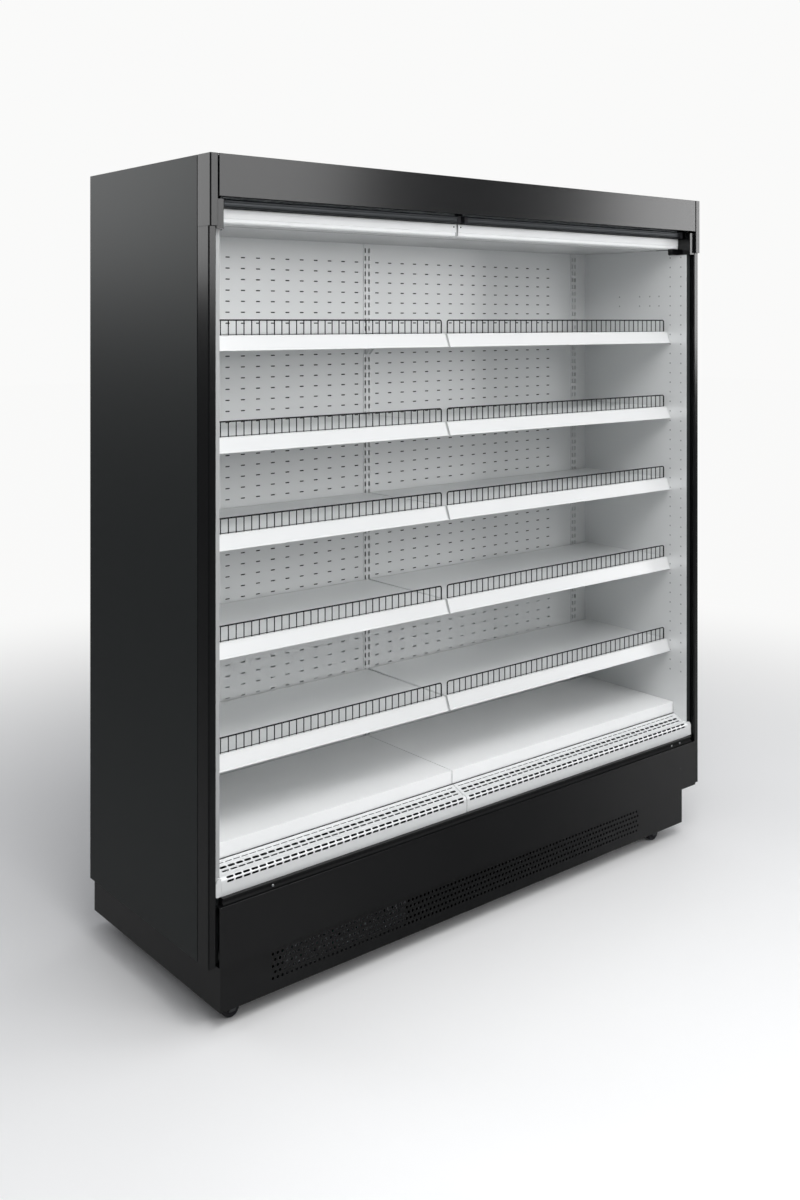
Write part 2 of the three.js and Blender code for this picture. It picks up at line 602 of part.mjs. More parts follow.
// ---------------------------------------------------------------- canopy
function canopyFascia() {
  const lip = FASCIA_LIP;
  const hem = CANOPY_LOW + 12; // top of the lip's upturned rear edge
  const outline = [
    [0, CANOPY_LOW], [lip, CANOPY_LOW], [lip, hem], [lip - SHEET, hem],
    [lip - SHEET, CANOPY_LOW + SHEET], [SHEET, CANOPY_LOW + SHEET], [SHEET, HEIGHT - SHEET],
    [CROWN_LIP, HEIGHT - SHEET], [CROWN_LIP, HEIGHT], [0, HEIGHT],
  ];
  const bearer = box(
    [SPLIT - BEARER / 2, SHEET / 2, CANOPY_LOW + 4], [SPLIT + BEARER / 2, LIGHT_FRONT + 2, ROOF_LOW],
  );
  const bore = rod('x', ROLLER_PIN + SEAT_GAP, 20, [SPLIT - 10, BLIND_AXIS_Y, BLIND_AXIS_Z]);
  return cut(join(prism('x', outline, -FASCIA_HALF, FASCIA_HALF), bearer), bore);
}

// A light strip with a stepped lower edge.
function lightOutline() {
  const back = LIGHT_FRONT + LIGHT_DEPTH;
  return [
    [LIGHT_FRONT, LIGHT_LOW + 12], [LIGHT_FRONT + 3, LIGHT_LOW + 10], [LIGHT_FRONT + 3, LIGHT_LOW + 3],
    [LIGHT_FRONT + 6, LIGHT_LOW], [back, LIGHT_LOW], [back, LIGHT_HIGH], [LIGHT_FRONT + 2, LIGHT_HIGH],
    [LIGHT_FRONT, LIGHT_HIGH - 2],
  ];
}

function blindRoller(from, to) {
  const end = 1; // running gap beside each bracket
  return join(
    rod('x', ROLLER_RADIUS, to - from - 2 * end, [from + end, BLIND_AXIS_Y, BLIND_AXIS_Z], 24),
    rod('x', ROLLER_PIN, to - from + 1.6, [from - 0.8, BLIND_AXIS_Y, BLIND_AXIS_Z], 16),
  );
}

function blindBar(from, to) {
  const outline = [
    [BAR_FRONT, BAR_LOW + 3], [BAR_FRONT + 3, BAR_LOW], [BAR_BACK, BAR_LOW],
    [BAR_BACK, BAR_HIGH], [BAR_FRONT + 3, BAR_HIGH], [BAR_FRONT, BAR_HIGH - 3],
  ];
  return prism('x', outline, from, to);
}

function buildCanopy() {
  add('canopy_fascia', canopyFascia(), 'blackSteel');
  const outletHalf = LINER_FACE - SEAT_GAP;
  const outlet = box([-outletHalf, OUTLET_Y, LIGHT_LOW], [outletHalf, CEILING_Y, LIGHT_LOW + OUTLET_HEIGHT]);
  add('air_outlet', outlet, 'whitePlastic');
  const fold = 26; // the ceiling sheet turns up against the outlet
  const ceiling = [
    [CEILING_Y, CEILING_Z], [REAR_FACE, CEILING_Z], [REAR_FACE, CEILING_Z + SHEET],
    [CEILING_Y + SHEET, CEILING_Z + SHEET], [CEILING_Y + SHEET, CEILING_Z + fold],
    [CEILING_Y, CEILING_Z + fold],
  ];
  add('ceiling_panel', prism('x', ceiling, -INSIDE, INSIDE), 'whiteSteel');
  const cheekIn = LINER_FACE - CAP_CHEEK;
  const fabricY = BLIND_AXIS_Y + ROLLER_RADIUS + SEAT_GAP;
  for (const { side } of BAYS) {
    const left = side === 'left';
    const from = left ? -cheekIn : SPLIT + BEARER / 2;
    const to = left ? SPLIT - BEARER / 2 : cheekIn;
    add(`light_strip_${side}`, prism('x', lightOutline(), from + SEAT_GAP, to - SEAT_GAP), 'whitePlastic');
    add(`blind_roller_${side}`, blindRoller(from, to), 'darkAluminium');
    const [barFrom, barTo] = [from + BAR_INSET, to - BAR_INSET];
    add(`blind_bar_${side}`, blindBar(barFrom, barTo), 'darkAluminium');
    const web = box(
      [barFrom + WEB_INSET, fabricY, BAR_HIGH], [barTo - WEB_INSET, fabricY + WEB, BLIND_AXIS_Z],
    );
    add(`blind_fabric_${side}`, web, 'blindFabric');
  }
}

// ---------------------------------------------------------------- shelves
// A shelf is drawn with its tray's top at z = 0.
function trayOutline() {
  const back = UPRIGHT_Y - 4;
  const railTopY = SHELF_FRONT + RAIL_LEAN;
  return [
    [railTopY, 0], [back, 0], [back, -TRAY_FLANGE], [back - SHEET, -TRAY_FLANGE], [back - SHEET, -SHEET],
    [railTopY + 4, -SHEET], [SHELF_FRONT + 6, -RAIL_HEIGHT + 2], [SHELF_FRONT + 1, -RAIL_HEIGHT],
    [SHELF_FRONT, -RAIL_HEIGHT + 1],
  ];
}

function bracketOutline() {
  const top = -SHEET / 2;
  const curveFront = UPRIGHT_Y - BRACKET_CURVE;
  const hollow = Array.from({ length: 7 }, (_, i) => {
    const t = i / 6;
    const drop = BRACKET_NECK + (BRACKET_DROP - BRACKET_NECK) * t * t;
    return [curveFront + (BRACKET_CURVE - 8) * t, -drop];
  });
  return [
    [SHELF_FRONT + RAIL_LEAN + 20, top], [SHELF_FRONT + RAIL_LEAN + 20, -BRACKET_NECK], ...hollow,
    [UPRIGHT_Y, -BRACKET_DROP], [UPRIGHT_Y, top],
  ];
}

function riser(from, to) {
  const y = SHELF_FRONT + RAIL_LEAN + 3;
  const low = -SHEET / 2;
  const count = Math.max(1, Math.round((to - from) / RISER_PITCH));
  const pitch = (to - from - WIRE) / count;
  const windows = Array.from({ length: count }, (_, i) => rectangle(
    from + i * pitch + WIRE, WIRE + 1, from + (i + 1) * pitch, RISER_HEIGHT - WIRE,
  ));
  return prism('y', rectangle(from, low, to, RISER_HEIGHT), y, y + WIRE, windows);
}

function shelf(from, to, brackets) {
  const plates = brackets.map((x) => prism('x', bracketOutline(), x, x + BRACKET_THICKNESS));
  return join(
    prism('x', trayOutline(), from, to), riser(from + RISER_INSET, to - RISER_INSET), ...plates,
  );
}

function buildShelves() {
  for (const { side, from, to, posts } of BAYS) {
    const left = side === 'left';
    const outer = SEAT_GAP * 4; // beside the liner
    const inner = 2 * BAY_GAP; // beside the neighbouring shelf
    const [start, end] = left ? [from + outer, to - inner] : [from + inner, to - outer];
    const brackets = [posts[0] + BRACKET_OFFSET, posts[1] - BRACKET_OFFSET - BRACKET_THICKNESS];
    const shape = shelf(start, end, brackets);
    for (const [level, top] of SHELF_TOPS.entries()) {
      const mesh = add(`shelf_${side}_${level + 1}`, shape, 'whiteSteel');
      mesh.position.z = top;
    }
  }
}

// ---------------------------------------------------------------- cooling unit
// Fan blades turn about y; the hub's front face is at y = 0.
function fanBlades(radius) {
  const { radius: hubRadius, depth } = FAN_HUB;
  const hub = turned('y', [
    [FAN_SHAFT + SEAT_GAP, 0], [hubRadius, 0], [hubRadius, depth], [FAN_SHAFT + SEAT_GAP, depth],
    [FAN_SHAFT + SEAT_GAP, 0],
  ], [0, 0, 0], 20);
  const tilt = THREE.MathUtils.degToRad(BLADE_TILT);
  const wings = Array.from({ length: FAN_BLADES }, (_, i) => {
    const wing = [
      [hubRadius - 2, -9], [radius - 6, -22], [radius, -12], [radius, 16], [radius - 4, 22],
      [hubRadius - 2, 10],
    ];
    const plate = prism('y', wing, -1, 1).rotateX(tilt).translate(0, depth / 2, 0);
    return plate.rotateY((2 * Math.PI * i) / FAN_BLADES);
  });
  return join(hub, ...wings);
}

// A motor with three arms to a plate behind it; the shaft points to the front.
function motorPieces([x, y, z], plateY, reach) {
  const arms = MOTOR_ARMS.map((angle) => {
    const arm = box([0, y + 6, -5], [reach, y + 10, 5]);
    return arm.rotateY(THREE.MathUtils.degToRad(angle)).translate(x, 0, z);
  });
  const feet = MOTOR_ARMS.map((angle) => {
    const foot = box([reach - 6, Math.min(plateY, y + 6), -5], [reach, Math.max(plateY, y + 10), 5]);
    return foot.rotateY(THREE.MathUtils.degToRad(angle)).translate(x, 0, z);
  });
  return [
    rod('y', MOTOR.radius, MOTOR.length, [x, y, z], 20),
    rod('y', FAN_SHAFT, MOTOR.shaft + 4, [x, y - MOTOR.shaft, z], 12), ...arms, ...feet,
  ];
}

const fanZ = (TUB_INNER + DECK_REST) / 2;
const fanX = BAYS.map(({ from, to }) => (from + to) / 2);

function fanPlate() {
  const hole = (x) => arc([x, fanZ], FAN_RADIUS + 5, 0, 345, 23);
  const face = rectangle(-LINER_FACE + SEAT_GAP, TUB_INNER, LINER_FACE - SEAT_GAP, DECK_REST);
  const plate = prism('y', face, FAN_PLATE_Y, FAN_PLATE_Y + 2, fanX.map(hole));
  const motors = fanX.flatMap((x) => (
    motorPieces([x, FAN_PLATE_Y + 22, fanZ], FAN_PLATE_Y + 1, FAN_RADIUS + FAN_ARM)
  ));
  return join(plate, ...motors);
}

function coilBlock([x0, y0, z0], [x1, y1, z1], fins) {
  // Deep grooves across the block stand for the fin pack.
  const block = box([x0, y0, z0], [x1, y1, z1]);
  const pitch = (x1 - x0) / fins;
  const grooves = Array.from({ length: fins - 1 }, (_, i) => {
    const x = x0 + (i + 1) * pitch;
    return box([x - pitch / 4, y0 - 1, z0 + 12], [x + pitch / 4, y0 + 10, z1 - 12]);
  });
  return cut(block, ...grooves);
}

function evaporator() {
  const half = UPRIGHT_X[2] - 20;
  const coilLow = DECK_TOP + COIL.aboveDeck;
  const low = [-half, UPRIGHT_Y + UPRIGHT_DEPTH + 4, coilLow];
  const high = [half, REAR_FACE - 8, coilLow + COIL.height];
  const ends = [-1, 1].map((side) => {
    const x = side * half;
    return box([x - 1.5, low[1] - 2, low[2] - 8], [x + 1.5, REAR_FACE, high[2] + 8]);
  });
  const bends = Array.from({ length: COIL.bends }, (_, i) => {
    const z = coilLow + 40 + i * COIL.bendPitch;
    const turn = new THREE.TorusGeometry(16, 5, 6, 12);
    return turn.rotateY(Math.PI / 2).rotateX(Math.PI / 2).translate(half + 1.5, (low[1] + high[1]) / 2, z);
  });
  return join(coilBlock(low, high, COIL.fins), ...ends, ...bends);
}

const machineY = skirtFront + 22;
const condenserFan = {
  x: (CONDENSER.from + CONDENSER.to) / 2,
  y: machineY + CONDENSER.shroud + 18,
  z: plateTop + CONDENSER_FAN_RADIUS + FAN_ARM + 4,
};

function condenser() {
  const { from, to, depth, fins } = CONDENSER;
  const top = BASE_TOP - 22;
  const block = coilBlock([from, machineY, plateTop], [to, machineY + depth, top], fins);
  const ring = arc([condenserFan.x, condenserFan.z], CONDENSER_FAN_RADIUS + 4, 0, 345, 23);
  const shroudY = machineY + CONDENSER.shroud;
  const shroud = prism('y', rectangle(from, plateTop, to, top), shroudY, shroudY + 3, [ring]);
  const sides = [
    box([from, machineY + 30, plateTop], [from + 3, shroudY + 2, top]),
    box([to - 3, machineY + 30, plateTop], [to, shroudY + 2, top]),
  ];
  const motor = motorPieces(
    [condenserFan.x, condenserFan.y + 24, condenserFan.z], shroudY + 2, CONDENSER_FAN_RADIUS + FAN_ARM,
  );
  return join(block, shroud, ...sides, ...motor);
}

function compressor() {
  const radius = COMPRESSOR_RADIUS;
  const place = [PLINTH_HALF - COMPRESSOR_IN, DEPTH / 2 + 20, plateTop];
  const [x, y, z] = place;
  const shell = turned('z', [
    [0, 14], [radius - 10, 14], [radius, 26], [radius, 110], [radius - 8, 128], [radius - 30, 142],
    [0, 148],
  ], place, 32);
  const foot = box([x - radius - 22, y - 40, z + 9], [x + radius + 22, y + 40, z + 20]);
  const feet = [-1, 1].flatMap((side) => [-28, 28].map((dy) => (
    rod('z', 9, 12, [x + side * (radius + 11), y + dy, z], 12)
  )));
  const terminalBox = box([x - 28, y - radius - 26, z + 40], [x + 28, y - radius + 12, z + 96]);
  return join(shell, foot, terminalBox, ...feet);
}

function buildCooling() {
  add('fan_plate', fanPlate(), 'zincSteel');
  for (const [index, side] of ['left', 'right'].entries()) {
    const blades = add(`evaporator_fan_${side}`, fanBlades(FAN_RADIUS), 'blackPlastic');
    blades.position.set(fanX[index], FAN_PLATE_Y, fanZ);
  }
  add('evaporator_coil', evaporator(), 'finAluminium');
  add('condenser', condenser(), 'finAluminium');
  const blades = add('condenser_fan', fanBlades(CONDENSER_FAN_RADIUS), 'blackPlastic');
  blades.position.set(condenserFan.x, condenserFan.y, condenserFan.z);
  add('compressor', compressor(), 'compressorPaint');
}

buildBase();
buildLowerFront();
buildWalls();
buildCanopy();
buildShelves();
buildCooling();

export default fridge;
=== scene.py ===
"""An open multideck display fridge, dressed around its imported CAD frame.

Everything is in metres in the part's own frame: X runs along the front, Y from the front
to the wall and Z up from the floor.
"""
import json
import logging
import math
from contextlib import contextmanager
from dataclasses import dataclass, replace
from enum import Enum
from typing import Callable, Iterator, Sequence

import bmesh
import bpy
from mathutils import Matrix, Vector


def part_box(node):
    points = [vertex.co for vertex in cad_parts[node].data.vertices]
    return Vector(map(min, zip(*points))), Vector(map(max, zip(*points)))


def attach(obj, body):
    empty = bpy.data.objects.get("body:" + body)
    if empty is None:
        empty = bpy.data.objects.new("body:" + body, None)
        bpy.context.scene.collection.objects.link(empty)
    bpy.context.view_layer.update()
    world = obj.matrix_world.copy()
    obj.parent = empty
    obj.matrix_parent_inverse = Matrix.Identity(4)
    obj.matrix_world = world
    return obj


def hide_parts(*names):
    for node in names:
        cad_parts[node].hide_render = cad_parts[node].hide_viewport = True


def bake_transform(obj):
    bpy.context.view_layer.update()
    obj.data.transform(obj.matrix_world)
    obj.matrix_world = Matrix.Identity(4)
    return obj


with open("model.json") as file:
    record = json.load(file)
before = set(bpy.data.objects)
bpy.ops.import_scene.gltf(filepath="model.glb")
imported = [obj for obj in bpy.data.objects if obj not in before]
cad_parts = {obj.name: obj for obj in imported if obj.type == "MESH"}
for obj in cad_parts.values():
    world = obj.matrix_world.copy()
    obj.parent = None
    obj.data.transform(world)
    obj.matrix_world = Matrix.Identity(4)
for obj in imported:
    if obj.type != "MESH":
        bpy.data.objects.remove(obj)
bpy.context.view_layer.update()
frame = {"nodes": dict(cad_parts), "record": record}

LOG = logging.getLogger("multideck")
Piece = bpy.types.Object
Tree = bpy.types.NodeTree
Socket = bpy.types.NodeSocket
Sockets = bpy.types.bpy_prop_collection
Flat = tuple[float, float]
Spot = Sequence[float]
Range = tuple[float, float, float, float]
NODES = frame["nodes"]
SIDES = ("left", "right")
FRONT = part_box("canopy_fascia")[0].y
HOLE_MARK = 1
NEAR = 2e-5


# ---------------------------------------------------------------- modelling tools


class Kind(Enum):
    """The elements of a mesh that can be picked."""

    EDGE = "edges"
    FACE = "faces"


class Axis(Enum):
    """The axis that an outline is drawn out along."""

    X = 0
    Y = 1
    Z = 2

    def point(self, along: float, flat: Flat = (0, 0)) -> Vector:
        """Places a point of an outline: its two numbers fill the other two axes in order."""
        values = list(flat)
        values.insert(self.value, along)
        return Vector(values)


def depth(from_front: float) -> float:
    """Returns the Y of a distance behind the front plane."""
    return FRONT + from_front


def side_way(side: str) -> int:
    """Returns minus one for the left side and one for the right."""
    return -1 if side == "left" else 1


def alone(piece: Piece) -> None:
    """Selects one piece, and nothing else, and makes it active."""
    bpy.ops.object.select_all(action="DESELECT")
    piece.select_set(True)
    bpy.context.view_layer.objects.active = piece


@contextmanager
def editing(piece: Piece) -> Iterator[None]:
    """Holds a piece in edit mode, with all of it selected at first."""
    alone(piece)
    bpy.ops.object.mode_set(mode="EDIT")
    bpy.ops.mesh.select_all(action="SELECT")
    yield
    bpy.ops.object.mode_set(mode="OBJECT")


def pick(piece: Piece, kind: Kind, test: Callable) -> None:
    """Selects, in edit mode, the elements that pass a test, and nothing else.

    Args:
        piece: The piece in edit mode.
        kind: Which elements are tested.
        test: Takes a bmesh element and says whether it is selected.
    """
    bpy.ops.mesh.select_mode(type=kind.name)
    bpy.ops.mesh.select_all(action="DESELECT")
    mesh = bmesh.from_edit_mesh(piece.data)
    for element in [e for e in getattr(mesh, kind.value) if test(e)]:
        element.select_set(True)
    bmesh.update_edit_mesh(piece.data)


def push_out(step: Spot) -> None:
    """Extrudes what is selected in edit mode."""
    bpy.ops.mesh.extrude_region_move(TRANSFORM_OT_translate={"value": step})


def modify(piece: Piece, kind: str, **settings: object) -> Piece:
    """Adds a modifier, sets it and applies it.

    Args:
        piece: The piece that is modified.
        kind: Blender's name of the modifier type.
        **settings: The modifier's properties.

    Returns:
        The same piece.
    """
    alone(piece)
    modifier = piece.modifiers.new(kind.title(), kind)
    for key, value in settings.items():
        setattr(modifier, key, value)
    bpy.ops.object.modifier_apply(modifier=modifier.name)
    return piece


def array(piece: Piece, count: int, step: Spot, merge: bool = True) -> Piece:
    """Repeats a piece in a row, its neighbours merged where they touch if that is asked for."""
    return modify(piece, "ARRAY", count=count, use_relative_offset=False, use_constant_offset=True,
                  constant_offset_displace=step, use_merge_vertices=merge, merge_threshold=NEAR)


def softened(piece: Piece, width: float = 0.0, segments: int = 1, angle: float = 30) -> Piece:
    """Rounds the sharp edges of a piece and shades it smooth between them.

    Args:
        piece: The piece.
        width: Width of the rounding, or 0 for none.
        segments: Faces across the rounding.
        angle: Edges sharper than this many degrees are rounded.

    Returns:
        The same piece.
    """
    if width:
        modify(piece, "BEVEL", width=width, segments=segments, limit_method="ANGLE",
               angle_limit=math.radians(angle), harden_normals=False)
    alone(piece)
    bpy.ops.object.shade_smooth_by_angle(angle=math.radians(35))
    return modify(piece, "WEIGHTED_NORMAL", weight=100, keep_sharp=True) if width else piece


def joined(name: str, pieces: Sequence[Piece]) -> Piece:
    """Joins several pieces into one and gives it a name.

    Args:
        name: Name of the whole.
        pieces: The pieces, of which the first gives the whole its material slots.

    Returns:
        The whole.
    """
    alone(pieces[0])
    for piece in pieces:
        piece.select_set(True)
    bpy.ops.object.join()
    whole = bpy.context.object
    whole.name = whole.data.name = name
    return whole


def moved(piece: Piece, step: Spot) -> Piece:
    """Moves a piece within its mesh."""
    with editing(piece):
        bpy.ops.transform.translate(value=step)
    return piece


def twin(name: str, mesh: bpy.types.Mesh) -> Piece:
    """Makes a piece of a copy of a mesh."""
    piece = bpy.data.objects.new(name, mesh.copy())
    bpy.context.scene.collection.objects.link(piece)
    return piece


def thickened(piece: Piece, way: Spot, gauge: float) -> Piece:
    """Gives an open sheet its thickness.

    Args:
        piece: The sheet.
        way: The way that its outer face points on the whole.
        gauge: Thickness of the sheet, to the inner side.

    Returns:
        The same piece, closed.
    """
    total = sum((face.normal * face.area for face in piece.data.polygons), Vector())
    if total.dot(Vector(way)) < 0:
        with editing(piece):
            bpy.ops.mesh.flip_normals()
    return modify(piece, "SOLIDIFY", thickness=gauge, offset=-1)


def rounded(path: Sequence[Flat], radius: float, steps: int = 3, closed: bool = True) -> list[Flat]:
    """Rounds the corners of a flat path.

    Args:
        path: The corners in order.
        radius: How far before and after a corner the rounding starts.
        steps: Pieces that a corner becomes.
        closed: Whether the path closes on itself.

    Returns:
        The finer path.
    """
    points = [Vector(p) for p in path]
    fine: list[Flat] = []
    for i, corner in enumerate(points):
        if not closed and i in (0, len(points) - 1):
            fine.append(tuple(corner))
            continue
        before, after = points[i - 1], points[(i + 1) % len(points)]
        reach = min(radius, (before - corner).length * 0.45, (after - corner).length * 0.45)
        first = corner + (before - corner).normalized() * reach
        last = corner + (after - corner).normalized() * reach
        for k in range(steps + 1):
            t = k / steps
            fine.append(tuple(first * (1 - t) ** 2 + corner * 2 * t * (1 - t) + last * t * t))
    return fine


def ring(name: str, places: Sequence[Spot], filled: bool = False) -> Piece:
    """Lays vertices through places, as one face or as an open line.

    Args:
        name: Name of the piece.
        places: The places in order.
        filled: Whether the places border a face.

    Returns:
        The piece.
    """
    bpy.ops.mesh.primitive_circle_add(vertices=len(places), location=(0, 0, 0),
                                      fill_type="NGON" if filled else "NOTHING")
    piece = bpy.context.object
    piece.name = piece.data.name = name
    for vertex, place in zip(piece.data.vertices, places):
        vertex.co = place
    if not filled:
        closing = {0, len(places) - 1}
        with editing(piece):
            pick(piece, Kind.EDGE, lambda e: {v.index for v in e.verts} == closing)
            bpy.ops.mesh.delete(type="EDGE")
    return piece


def bar(name: str, outline: Sequence[Flat], start: float, end: float, axis: Axis = Axis.X) -> Piece:
    """Draws a filled outline out along an axis.

    Args:
        name: Name of the piece.
        outline: Closed outline across the axis.
        start: Where it starts along the axis.
        end: Where it ends.
        axis: The axis.

    Returns:
        A closed piece.
    """
    piece = ring(name, [axis.point(start, flat) for flat in outline], filled=True)
    with editing(piece):
        push_out(axis.point(end - start))
        bpy.ops.mesh.select_all(action="SELECT")
        bpy.ops.mesh.normals_make_consistent(inside=False)
    return piece


def end_pair(outline: Sequence[Flat], low: float, high: float, length: float) -> Piece:
    """Puts a short bar at both ends of a span along X, as one piece."""
    return joined("ends", [bar("end", outline, x, x + length) for x in (low, high - length)])


def folded(name: str, path: Sequence[Flat], start: float, end: float, gauge: float,
           outward: Spot, axis: Axis = Axis.X) -> Piece:
    """Folds sheet metal along a path across an axis.

    Args:
        name: Name of the piece.
        path: The outer face of the sheet, seen along the axis.
        start: Where it starts along the axis.
        end: Where it ends.
        gauge: Thickness of the sheet, to the inner side of the path.
        outward: The way that the outer face points on the whole.
        axis: The axis that the folds run along.

    Returns:
        The closed sheet.
    """
    piece = ring(name, [axis.point(start, flat) for flat in path])
    with editing(piece):
        push_out(axis.point(end - start))
    return thickened(piece, outward, gauge)


def wire(name: str, points: Sequence[Spot], radius: float) -> Piece:
    """Bends a round wire along points.

    Args:
        name: Name of the piece.
        points: The centre line, three points or more.
        radius: Radius of the wire.

    Returns:
        The wire as a mesh.
    """
    alone(ring(name, points))
    bpy.ops.object.convert(target="CURVE")
    curve = bpy.context.object.data
    curve.bevel_depth, curve.bevel_resolution, curve.use_fill_caps = radius, 1, True
    bpy.ops.object.convert(target="MESH")
    piece = bpy.context.object
    with editing(piece):
        bpy.ops.mesh.remove_doubles(threshold=NEAR)
        bpy.ops.mesh.normals_make_consistent(inside=False)
    return piece


def turned(name: str, profile: Sequence[Flat], centre: Spot, axis: Axis, steps: int) -> Piece:
    """Turns a profile about an axis.

    Args:
        name: Name of the piece.
        profile: (distance along the axis, radius) from one pole to the other.
        centre: A point of the axis that the distances are counted from.
        axis: The axis.
        steps: Faces round the piece.

    Returns:
        The closed turned piece.
    """
    piece = ring(name, [Vector(centre) + axis.point(d, (radius, 0)) for d, radius in profile])
    with editing(piece):
        bpy.ops.mesh.spin(steps=steps, angle=math.tau, center=centre, axis=axis.point(1))
        bpy.ops.mesh.select_all(action="SELECT")
        bpy.ops.mesh.remove_doubles(threshold=1e-5)
        bpy.ops.mesh.normals_make_consistent(inside=False)
    return piece


# ---------------------------------------------------------------- punched sheets


def slot_hole(width: float, height: float) -> list[Flat]:
    """Outlines a slot with round ends.

    Args:
        width: Width of the slot.
        height: Height of the slot.

    Returns:
        12 points from its upper right corner.
    """
    if width < height:
        upright = [(-z, x) for x, z in slot_hole(height, width)]
        return upright[-3:] + upright[:-3]
    r, run = height / 2, width / 2 - height / 2
    arc = lambda side, degrees: (side * run + r * math.cos(math.radians(degrees)),
                                 r * math.sin(math.radians(degrees)))
    return [arc(1, 45), (run, r), (-run, r), arc(-1, 135), arc(-1, 165), arc(-1, 195),
            arc(-1, 225), (-run, -r), (run, -r), arc(1, 315), arc(1, 345), arc(1, 15)]


def round_hole(diameter: float, count: int = 16) -> list[Flat]:
    """Outlines a round hole, from its upper right corner."""
    angles = (math.pi / 4 + math.tau * i / count for i in range(count))
    return [(diameter / 2 * math.cos(a), diameter / 2 * math.sin(a)) for a in angles]


def punched_cell(width: float, height: float, hole: Sequence[Flat], x: float, z: float) -> Piece:
    """Makes a flat cell across Y whose hole is one marked face.

    Args:
        width: Width of the cell along X.
        height: Height of the cell along Z.
        hole: Outline of the hole, a multiple of four points from the upper right corner.
        x: Centre of the cell along X.
        z: Centre of the cell along Z.

    Returns:
        The cell.
    """
    per_side = len(hole) // 4
    corners = [(1, 1), (-1, 1), (-1, -1), (1, -1)]
    shares = [k / per_side for k in range(per_side)]
    border = [(x + width / 2 * (ax + (bx - ax) * t), 0, z + height / 2 * (az + (bz - az) * t))
              for (ax, az), (bx, bz) in zip(corners, corners[1:] + corners[:1]) for t in shares]
    cell = ring("cell", border, filled=True)
    with editing(cell):
        bpy.ops.mesh.inset(thickness=min(width, height) * 0.05)
        mesh = bmesh.from_edit_mesh(cell.data)
        inner = next(face for face in mesh.faces if face.select)
        inner.material_index = HOLE_MARK
        for vertex in inner.verts:
            ends = (e.other_vert(vertex) for e in vertex.link_edges)
            hx, hz = hole[next(v.index for v in ends if not v.select)]
            vertex.co = (x + hx, 0, z + hz)
        bmesh.update_edit_mesh(cell.data)
    return cell


def field(cell: Piece, columns: int, rows: int, pitch: float, rise: float) -> Piece:
    """Repeats a punched cell over a flat field, to the right and upwards."""
    return array(array(cell, columns, (pitch, 0, 0)), rows, (0, 0, rise))


def opened(piece: Piece) -> Piece:
    """Deletes the marked faces of a punched sheet, which opens its holes."""
    with editing(piece):
        pick(piece, Kind.FACE, lambda f: f.material_index == HOLE_MARK)
        bpy.ops.mesh.delete(type="FACE")
    return piece


def drawn_out(piece: Piece, axis: Axis, edge: float, step: Spot) -> Piece:
    """Extrudes the border edges of a sheet that still lie in its plane at one place.

    Args:
        piece: The sheet, flat across Y at Y zero.
        axis: The axis that the place is on.
        edge: The place on that axis.
        step: How far the new edges move.

    Returns:
        The same piece.
    """
    with editing(piece):
        pick(piece, Kind.EDGE, lambda e: e.is_boundary and all(
            abs(v.co[axis.value] - edge) < NEAR and abs(v.co.y) < 1e-6 for v in e.verts))
        push_out(step)
    return piece


def framed_sheet(piece: Piece, held: Range, wanted: Range) -> Piece:
    """Widens a punched field to its sheet's full size.

    Args:
        piece: The field, flat across Y.
        held: Its lowest and highest X and lowest and highest Z.
        wanted: The same four of the whole sheet.

    Returns:
        The same piece.
    """
    for axis, now, then in zip((Axis.X, Axis.X, Axis.Z, Axis.Z), held, wanted):
        if abs(then - now) > 1e-5:
            drawn_out(piece, axis, now, axis.point(then - now))
    return piece


def folded_back(piece: Piece, places: Sequence[tuple[Axis, float]], fold: float,
                crease: float) -> Piece:
    """Folds back edges of a flat sheet and rounds the upright folds.

    Args:
        piece: The sheet, flat across Y at Y zero.
        places: The axis and the place of each edge.
        fold: How far the flanges reach back.
        crease: Width of the rounding.

    Returns:
        The same piece.
    """
    for axis, edge in places:
        drawn_out(piece, axis, edge, (0, fold, 0))
    sides = [edge for axis, edge in places if axis is Axis.X]
    with editing(piece):
        pick(piece, Kind.EDGE, lambda e: not e.is_boundary and any(
            all(abs(v.co.x - side) < NEAR and abs(v.co.y) < NEAR for v in e.verts)
            for side in sides))
        bpy.ops.mesh.bevel(offset=crease, segments=2, affect="EDGES")
    return piece


# ---------------------------------------------------------------- shader tools


def feed(tree: Tree, made: bpy.types.Node, inputs: dict) -> None:
    """Gives the inputs of a node what feeds them, each a socket or a value."""
    for key, value in inputs.items():
        if isinstance(value, Socket):
            tree.links.new(value, made.inputs[key])
        else:
            made.inputs[key].default_value = value


def node(tree: Tree, kind: str, inputs: dict | None = None,
         **settings: object) -> bpy.types.Node:
    """Adds a shader node.

    Args:
        tree: The node tree.
        kind: The node's type, without ShaderNode.
        inputs: What feeds each input: a socket or a value.
        **settings: The node's properties.

    Returns:
        The node.
    """
    made = tree.nodes.new("ShaderNode" + kind)
    for key, value in settings.items():
        setattr(made, key, value)
    feed(tree, made, inputs or {})
    return made


def calc(tree: Tree, operation: str, first: object, second: object) -> Socket:
    """Does a sum with two values."""
    return node(tree, "Math", {0: first, 1: second}, operation=operation).outputs[0]


def mix(tree: Tree, share: Socket, first: object, second: object) -> Socket:
    """Mixes two colours."""
    return node(tree, "Mix", {0: share, 6: first, 7: second}, data_type="RGBA").outputs[2]


def spread(tree: Tree, value: Socket, start: float, end: float, low: object = 0.0,
           high: object = 1.0, shape: str = "LINEAR") -> Socket:
    """Maps the span of a value from start to end onto the span from low to high."""
    given = {"Value": value, "From Min": start, "From Max": end, "To Min": low, "To Max": high}
    return node(tree, "MapRange", given, interpolation_type=shape).outputs["Result"]


def place(tree: Tree, kind: str = "Object") -> Socket:
    """Returns a texture coordinate."""
    return node(tree, "TexCoord").outputs[kind]


